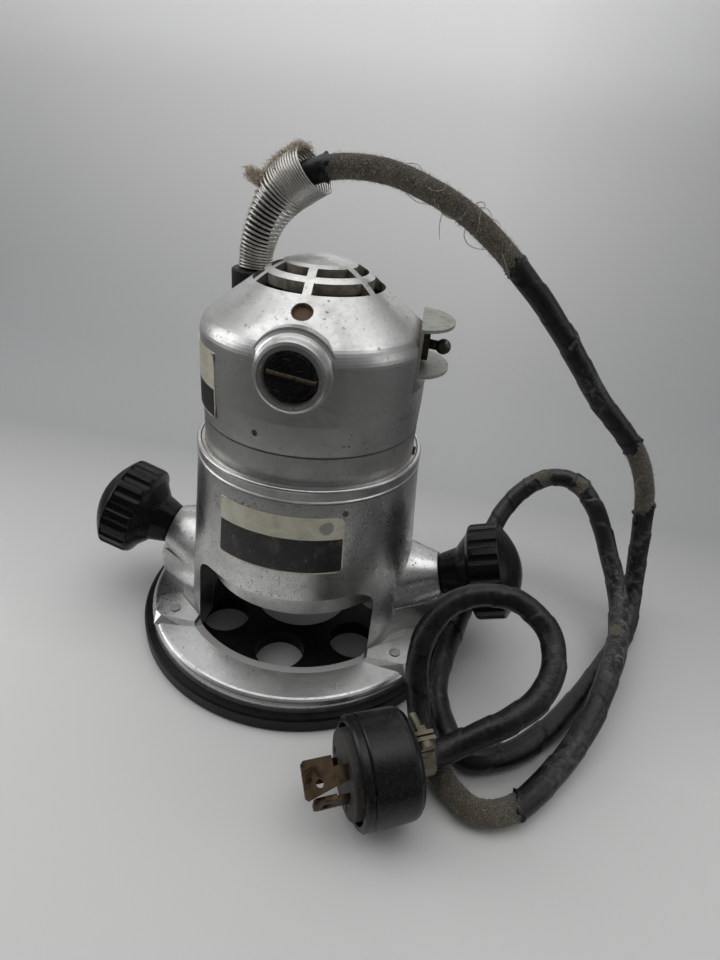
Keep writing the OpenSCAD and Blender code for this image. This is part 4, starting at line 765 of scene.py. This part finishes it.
def inside_cloth(way, angle, line):
    """How far each point is inside a stretch of bare cloth, in millimetres."""
    edge = uneven(way, angle, TAPE_EDGE, 2.6, 1.4)
    deep = np.full_like(way, -99.0)
    for low, high, first, last in CLOTH:
        deep = np.maximum(deep, np.minimum(way - low - first * edge, high + last * edge - way))
    _, side, up = carried_frames(line, CORD_START)
    for place, half_length, facing, half_width in BARE:
        i = int(np.searchsorted(way[:, 0], place))
        aside = turned(angle, math.atan2(float(up[i] @ facing), float(side[i] @ facing)))
        ragged = half_length * (1 + 0.5 * wobble(way, angle, 0.1, 3, int(place)))
        ends = ragged - np.abs(way - place - 1.2 * aside)
        deep = np.maximum(deep, np.minimum(ends, half_width - np.abs(aside) * MEAN_RADIUS))
    return deep


def make_cord():
    line = smooth_curve(ROUTE, CORD_SPACING / 1000, 10)
    length = lengths_along(line)
    angles = np.linspace(0, 2 * math.pi, CORD_SIDES, endpoint=False)
    way, angle = np.meshgrid(length * 1000, angles, indexing="ij")
    deep = inside_cloth(way, angle, line)
    bare = deep > 0
    cloth = CLOTH_RADIUS + uneven(way, angle, CLOTH_LUMPS, 0.07, 0.09)
    # the tape's torn edge stands off the cloth
    torn = np.exp(-(np.minimum(deep, 0) / 0.9) ** 2) * (0.8 + 0.9 * wobble(way, angle, *TORN_LUMPS))
    radius = np.where(bare, cloth, tape_surface(way, angle) + np.clip(torn, 0, TORN_EDGE))
    radius[0, :] = MEAN_RADIUS
    verts, faces = tube_mesh(line, radius / 1000, CORD_SIDES, CORD_START)
    # nothing of the cord goes below the floor
    verts[:, 2] = np.maximum(verts[:, 2], FLOOR_GAP / 1000)
    index = np.zeros(len(faces), int)
    index[:-2] = bare[:-1].reshape(-1)
    uvs = []
    for u0, u1 in zip(length, length[1:]):
        for k in range(CORD_SIDES):
            v0, v1 = k / CORD_SIDES, (k + 1) / CORD_SIDES
            uvs += [(u0, v0), (u0, v1), (u1, v1), (u1, v0)]
    uvs += [(0, 0)] * (2 * CORD_SIDES)
    made = mesh_object("cord_covered", verts, faces, (tape_material(), cloth_material()), index, uvs)
    return made, line, float(length[-1])


cord, cord_line, cord_length = make_cord()
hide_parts("cord")
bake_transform(cord)


# strain spring: a smooth wire in the place of the faceted one

# its axis, in millimetres, as in the frame
SPRING_AXIS = [(-33.0, 22.3, 158.9), (-32.9, 22.3, 163.0), (-32.3, 22.3, 167.5), (-30.8, 22.3, 173.0),
    (-28.5, 22.4, 178.8), (-25.4, 22.8, 184.2), (-21.9, 23.3, 188.8), (-18.0, 24.2, 192.6),
    (-13.9, 25.2, 195.6), (-10.4, 26.2, 197.6)]
AXIS_SPACING, AXIS_SOFTEN = 0.0004, 20
WIRE, WIRE_SIDES = 0.0010, 8
POINTS_PER_TURN = 30
TO_VIEW = (0.246, -0.968, 0.046)
LEAN_WAY = (0.987, 0.16, 0)
# along the spring, as (fractions of its length, values there): degrees, degrees, millimetres, millimetres
SPRING_LEAN = ((0, 0.25, 0.6, 1.0), (3, 18, 33, 50))
SPRING_TURN = ((0, 0.5, 1.0), (0, 4, 20))
SPRING_RADIUS = ((0, 0.18, 0.45, 0.65, 0.8, 0.93, 1.0), (7.1, 7.15, 8.1, 9.5, 10.5, 10.4, 10.2))
SPRING_PITCH = ((0, 0.03, 0.16, 0.30, 0.62, 0.78, 1.0), (1.02, 1.15, 1.3, 1.95, 2.1, 1.04, 1.02))


def spring_frame(f, axis):
    """Centre, two ring directions, facing and radius of the spring at fraction f of its length."""
    last = len(axis) - 1
    centre = np.array([np.interp(f * last, np.arange(last + 1), axis[:, k]) for k in range(3)])
    lean, turn = (math.radians(np.interp(f, *table)) for table in (SPRING_LEAN, SPRING_TURN))
    facing = math.cos(lean) * np.array((0, 0, 1.0)) + math.sin(lean) * np.array(LEAN_WAY)
    facing = unit(facing * math.cos(turn) + np.array(TO_VIEW) * math.sin(turn))
    across = unit(np.cross((0, 1.0, 0), facing))
    return centre, across, np.cross(facing, across), facing, np.interp(f, *SPRING_RADIUS) / 1000 - WIRE / 2


def make_spring():
    axis = smooth_curve([tuple(v / 1000 for v in point) for point in SPRING_AXIS], AXIS_SPACING,
                        AXIS_SOFTEN)
    length = float(lengths_along(axis)[-1])
    path, f, turn = [], 0.0, 0.0
    while f < 1.0:
        centre, across, up, _, radius = spring_frame(f, axis)
        angle = 2 * math.pi * turn
        path.append(centre + radius * (math.cos(angle) * across + math.sin(angle) * up))
        turn += 1 / POINTS_PER_TURN
        f += np.interp(f, *SPRING_PITCH) / 1000 / length / POINTS_PER_TURN
    wire = np.full((len(path), WIRE_SIDES), WIRE / 2)
    verts, faces = tube_mesh(np.array(path), wire, WIRE_SIDES, start=(0, 0, 1))
    spring = mesh_object("strain_spring_wire", verts, faces, (spring_steel,))
    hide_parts("strain_spring")
    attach(spring, "motor")
    return axis


spring_axis = make_spring()


# frayed cotton and loose threads

COTTON_PALE, COTTON_DARK = (0.80, 0.72, 0.58), (0.58, 0.48, 0.34)
THREAD_PALE, THREAD_DARK = (0.66, 0.59, 0.46), (0.32, 0.28, 0.21)
MATTED_FIBRES, TUFT_FIBRES, MOUTH_FIBRES = 1500, 900, 260
# where they are, in fractions of the spring's length
MATTED_FROM, MATTED_REACH = 0.60, 0.38
TUFT_PLACE, TUFT_LENGTH = 0.615, 0.0056
MOUTH_FROM = 0.93


def fibre_material(name, pale, dark):
    m = Mat(name)
    colour = m.mix(m.span(m.noise(900, 3, 0.6), 0.35, 0.65), pale, dark)
    return m.finish(colour, 0.9, 0.0, m.bump(m.noise(5000, 2, 0.5), 0.4, 0.0001), Sheen_Weight=0.3)


def strand_mesh(name, paths, radii, material):
    """Three-sided strands that thin towards their ends, in one mesh."""
    verts, faces = [], []
    for path, radius in zip(paths, radii):
        taper = np.linspace(1.0, 0.55, len(path))[:, None] * np.full((len(path), 3), radius)
        strand_verts, strand_faces = tube_mesh(np.array(path), taper, 3, start=rng.normal(0, 1, 3))
        base = len(verts)
        verts.extend(map(tuple, strand_verts))
        faces.extend(tuple(base + i for i in face) for face in strand_faces)
    return mesh_object(name, verts, faces, (material,))


def curl(start, aim, length, wander, steps):
    """A loose fibre that wanders as it goes along aim."""
    place, ahead = np.array(start, float), unit(np.array(aim, float))
    path = [place]
    for _ in range(steps):
        ahead = unit(ahead + rng.normal(0, wander, 3))
        place = place + ahead * length / steps
        path.append(place)
    return path


def on_spring(f, side):
    """Centre, outward direction, facing and radius of the spring at fraction f, side radians round it."""
    centre, across, up, facing, radius = spring_frame(f, spring_axis)
    return centre, -across * math.cos(side) + up * math.sin(side), facing, radius


def matted_strip(paths, radii):
    """Cotton matted along the coils, on the spring's outer side."""
    for _ in range(MATTED_FIBRES):
        f = MATTED_FROM + MATTED_REACH * rng.uniform() ** 0.9
        wide = 0.30 + 0.12 * math.sin(f * 40)
        centre, out, facing, radius = on_spring(f, 0.35 + rng.normal(0, wide))
        start = centre + out * (radius + rng.uniform(0.0003, 0.0016))
        aim = facing * rng.normal(0.3, 0.8) + out * rng.normal(0.05, 0.25)
        aim = aim + np.cross(facing, out) * rng.normal(0, 0.8)
        paths.append(curl(start, aim, rng.uniform(0.0012, 0.0032), 0.55, 6))
        radii.append(rng.uniform(0.00009, 0.00019))


def tuft(paths, radii):
    """Cotton that points away to the left."""
    centre, out, facing, radius = on_spring(TUFT_PLACE, 0.1)
    root = centre + out * (radius + 0.0004)
    for _ in range(TUFT_FIBRES):
        far = rng.uniform() ** 1.2
        start = root + out * TUFT_LENGTH * far - facing * (0.0006 * far) + rng.normal(0, 0.0009, 3)
        start = start + facing * rng.uniform(-0.0004, 0.0022) * (1 - far)
        aim = out + rng.normal(0, 0.55, 3)
        paths.append(curl(start, aim, rng.uniform(0.0014, 0.0033), 0.5, 6))
        radii.append(rng.uniform(0.00008, 0.00017))


def mouth_wisps(paths, radii):
    """Wisps at the spring's mouth."""
    for _ in range(MOUTH_FIBRES):
        centre, out, facing, radius = on_spring(rng.uniform(MOUTH_FROM, 1.0), rng.normal(0.3, 0.3))
        start = centre + out * (radius + rng.uniform(-0.0006, 0.0010))
        aim = facing * 0.8 + out * rng.uniform(-0.2, 0.8) + rng.normal(0, 0.4, 3)
        paths.append(curl(start, aim, rng.uniform(0.0012, 0.0036), 0.45, 7))
        radii.append(rng.uniform(0.00007, 0.00014))


def make_frayed_end():
    """Torn cotton that has worked out between the coils and lies along the spring's outer side."""
    paths, radii = [], []
    matted_strip(paths, radii)
    tuft(paths, radii)
    mouth_wisps(paths, radii)
    material = fibre_material("frayed_cotton", COTTON_PALE, COTTON_DARK)
    cotton = strand_mesh("frayed_cotton", paths, radii, material)
    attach(cotton, "motor")


make_frayed_end()

# fuzz on the bare cloth, as (from, to, count) in millimetres along the cord
FUZZ = ((62, 148, 3400), (252, 291, 1100), (875, 914, 900))
# long threads, each through points (along, turn, lift): millimetres, degrees and millimetres
LONG_THREADS = [
    [(110, 88, 0.0), (110.5, 90, 2.5), (112, 92, 5.5), (115, 92, 9.0)],
    [(121, 60, 0.1), (122, 85, 0.4), (123, 92, 2.2), (127, 90, 3.6), (131, 88, 2.2), (134, 84, 0.1)],
    [(104, 20, 0.1), (106, 45, 0.7), (110, 55, 0.9), (115, 42, 0.8), (117, 10, 0.7), (117, -25, 0.1)],
    [(106, 30, 0.1), (109, 56, 0.8), (113, 60, 0.9), (117, 35, 0.5), (117.5, 0, 0.3)],
    [(100, -10, 0.1), (103, -12, 0.5), (106, -40, 0.6), (105, -70, 0.2)],
    [(119, -95, 0.1), (120, -90, 2.0), (122, -85, 2.2), (122, -40, 0.9), (125, 10, 0.6), (126, 40, 0.3)],
    [(121, -85, 0.1), (123, -85, 1.6), (126, -80, 1.2), (127, -65, 0.1)],
    [(127, -80, 0.1), (129, -84, 1.0), (131, -80, 0.9), (132, -70, 0.1)],
    [(93, 80, 0.1), (96, 92, 0.9), (99, 94, 1.3), (103, 85, 0.1)],
    [(139, 10, 0.2), (143, 25, 0.9), (147, 45, 1.0), (149, 55, 0.9)],
    [(88, -60, 0.1), (91, -85, 1.0), (94, -88, 1.2), (96, -70, 0.1)],
    [(268, 10, 0.1), (270, 40, 1.0), (275, 50, 1.2), (279, 20, 0.3)],
]
THREAD_FOOT = 4.6
FIBRE_GAP = 0.0003


def over_cord():
    """A function that gives a point over the cord, its outward direction and the cord's own."""
    length = lengths_along(cord_line) * 1000
    slopes = np.gradient(cord_line, axis=0)
    slopes /= np.linalg.norm(slopes, axis=1)[:, None]

    def at(s, turn, lift):
        """At s millimetres along and lift millimetres off the cloth; turn 0 faces -Y, 90 is below."""
        centre = np.array([np.interp(s, length, cord_line[:, k]) for k in range(3)])
        ahead = unit(np.array([np.interp(s, length, slopes[:, k]) for k in range(3)]))
        front = unit(np.array((0, -1.0, 0)) + ahead * ahead[1])
        down = np.cross(ahead, front)
        if down[2] > 0:
            down = -down
        out = math.cos(math.radians(turn)) * front + math.sin(math.radians(turn)) * down
        return centre + out * (THREAD_FOOT + lift) / 1000, out, ahead

    return at


def make_threads():
    """Fuzz on the bare cloth, and the few long threads that have come loose."""
    at = over_cord()
    paths, radii = [], []
    for low, high, count in FUZZ:
        for _ in range(count):
            foot, out, ahead = at(rng.uniform(low, high), rng.uniform(0, 360), -0.1)
            aim = ahead * rng.normal(0, 1) + np.cross(ahead, out) * rng.normal(0, 1)
            aim = aim + out * rng.uniform(0.05, 0.55)
            path = curl(foot, aim, rng.uniform(0.0006, 0.0020), 0.35, 4)
            paths.append([np.array((x, y, max(z, FIBRE_GAP))) for x, y, z in path])
            radii.append(rng.uniform(0.00005, 0.00010))
    for points in LONG_THREADS:
        paths.append(smooth_curve([at(*point)[0] for point in points], 0.0005, 3))
        radii.append(rng.uniform(0.00019, 0.00027))
    material = fibre_material("loose_thread", THREAD_PALE, THREAD_DARK)
    threads = strand_mesh("loose_threads", paths, radii, material)
    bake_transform(threads)


make_threads()


# floor and backdrop

# the paper's colours, and a lighter one for painted light high on the backdrop
PAPER, PAPER_WARM, PAINTED_LIGHT_HIGH = (0.91, 0.905, 0.89), (0.94, 0.935, 0.92), (0.92, 0.922, 0.926)
# colours of painted shade, and of a painted dark reflection
PAINTED_SHADE_GREY, PAINTED_SHADE_RIGHT, PAINTED_DARK_REFLECTION = (0.25, 0.256, 0.262), (0.40, 0.40, 0.40), (0.03, 0.03, 0.03)
FLOOR_FRONT, FLOOR_BACK, HALF_WIDTH, BACKDROP_TOP = -2.2, 0.30, 2.4, 2.2
BEND_RADIUS, BEND_STEPS = 0.25, 12


def paper_material():
    """Pale paper with painted light, shade and reflection; the metal sees it end a short way from the router,
    as a small sheet in a room.
    """
    m = Mat("pale_floor")
    x, y, z = (m.axis(k) for k in "XYZ")
    colour = m.mix(m.noise(3.0, 3, 0.5), PAPER, PAPER_WARM)
    # painted light: the paper is a little lighter and cooler higher up the backdrop
    colour = m.mix(m.span(z, 0.02, 0.40), colour, PAINTED_LIGHT_HIGH)
    # painted shade: a grey band behind the router, and grey towards both sides
    behind = m.span(y, -0.06, 0.14)
    band = m.span(z, 0.0, 0.30, 0.70, 0.06)
    left = m.times(m.span(x, -0.50, 0.10, 0.45, 0.0), m.span(z, 0.05, 0.35, 1.0, 0.4))
    right = m.span(x, 0.08, 0.42, 0.0, 0.55)
    for grey in (band, left, right):
        colour = m.mix(m.times(behind, grey), colour, PAINTED_SHADE_GREY)
    # painted shade: the paper turns a little darker towards the right
    colour = m.mix(m.span(x, 0.05, 0.30, 0.0, 0.10), colour, PAINTED_SHADE_RIGHT)
    # painted reflection: to glossy rays the paper turns dark, as the sheet's end and the dark room past it
    ahead = m.span(m.plus(y, m.times(m.math("ABSOLUTE", x), 0.9)), -0.25, 0.0, 0.975, 0.87)
    past = m.times(m.span(m.hypot(x, y), 0.11, 0.24), ahead, m.span(y, 0.22, 0.40, 1.0, 0.0))
    reflected = m.new("LightPath").outputs["Is Glossy Ray"]
    colour = m.mix(m.times(past, reflected), colour, PAINTED_DARK_REFLECTION)
    return m.finish(colour, 0.8, 0.0, m.bump(m.noise(160, 4, 0.6), 0.03, 0.0005), Specular_IOR_Level=0.2)


def make_stage():
    """Floor that curves up into a backdrop behind the router."""
    outline = [(FLOOR_FRONT, 0.0), (FLOOR_BACK, 0.0)]
    for i in range(1, BEND_STEPS + 1):
        angle = math.radians(i * 90 / BEND_STEPS)
        outline.append((FLOOR_BACK + BEND_RADIUS * math.sin(angle), BEND_RADIUS * (1 - math.cos(angle))))
    outline.append((FLOOR_BACK + BEND_RADIUS, BACKDROP_TOP))
    verts = [(x, y, z) for y, z in outline for x in (-HALF_WIDTH, HALF_WIDTH)]
    faces = [(i, i + 1, i + 3, i + 2) for i in range(0, len(verts) - 2, 2)]
    mesh_object("floor", verts, faces, (paper_material(),))


make_stage()


# light

# as (name, place, target, width, height, watts)
LIGHTS = [("top_light", (-0.02, 0.15, 0.95), (-0.02, 0.12, 0.05), 1.55, 0.78, 2.85),
          ("left_light", (-0.80, -0.05, 0.42), (0.0, 0.0, 0.1), 0.5, 0.6, 1.5),
          ("right_light", (0.85, -0.05, 0.36), (0.0, 0.0, 0.1), 0.4, 0.5, 0.4),
          ("back_light", (-0.02, 0.16, 0.62), (-0.02, 0.56, 0.46), 0.9, 0.3, 1.5)]
ROOM_COOL, ROOM_WARM = (0.95, 0.98, 1.0), (1.0, 1.0, 0.99)
# how far the room's bright part leans back, how bright its sides are, and the rise from dark to bright
ROOM_LEAN, ROOM_SIDES, ROOM_RISE = 0.75, 0.17, (0.45, 0.95, 0.08, 0.62)


def area_light(name, place, target, width, height, watts):
    data = bpy.data.lights.new(name, "AREA")
    data.shape = "RECTANGLE"
    data.size, data.size_y = width, height
    data.energy = watts
    lamp = new_object(name, data)
    lamp.location = place
    lamp.rotation_mode = "QUATERNION"
    lamp.rotation_quaternion = (Vector(place) - Vector(target)).to_track_quat("Z", "Y")


def make_room():
    """The room's own light: bright overhead and behind, dim at the sides, dark in front."""
    world = bpy.data.worlds.new("world")
    bpy.context.scene.world = world
    world.use_nodes = True
    g = Graph(world.node_tree)
    x, y, z = (g.axis(k, g.around) for k in "XYZ")
    high = g.span(g.plus(g.times(y, ROOM_LEAN), z), *ROOM_RISE, "SMOOTHSTEP")
    level = g.plus(g.times(x, x, ROOM_SIDES), high)
    room = g.new("Background", Color=g.mix(level, ROOM_COOL, ROOM_WARM), Strength=level)
    g.new("OutputWorld", Surface=room.outputs[0])


for light in LIGHTS:
    area_light(*light)
make_room()

bpy.context.scene.view_settings.view_transform = "Standard"
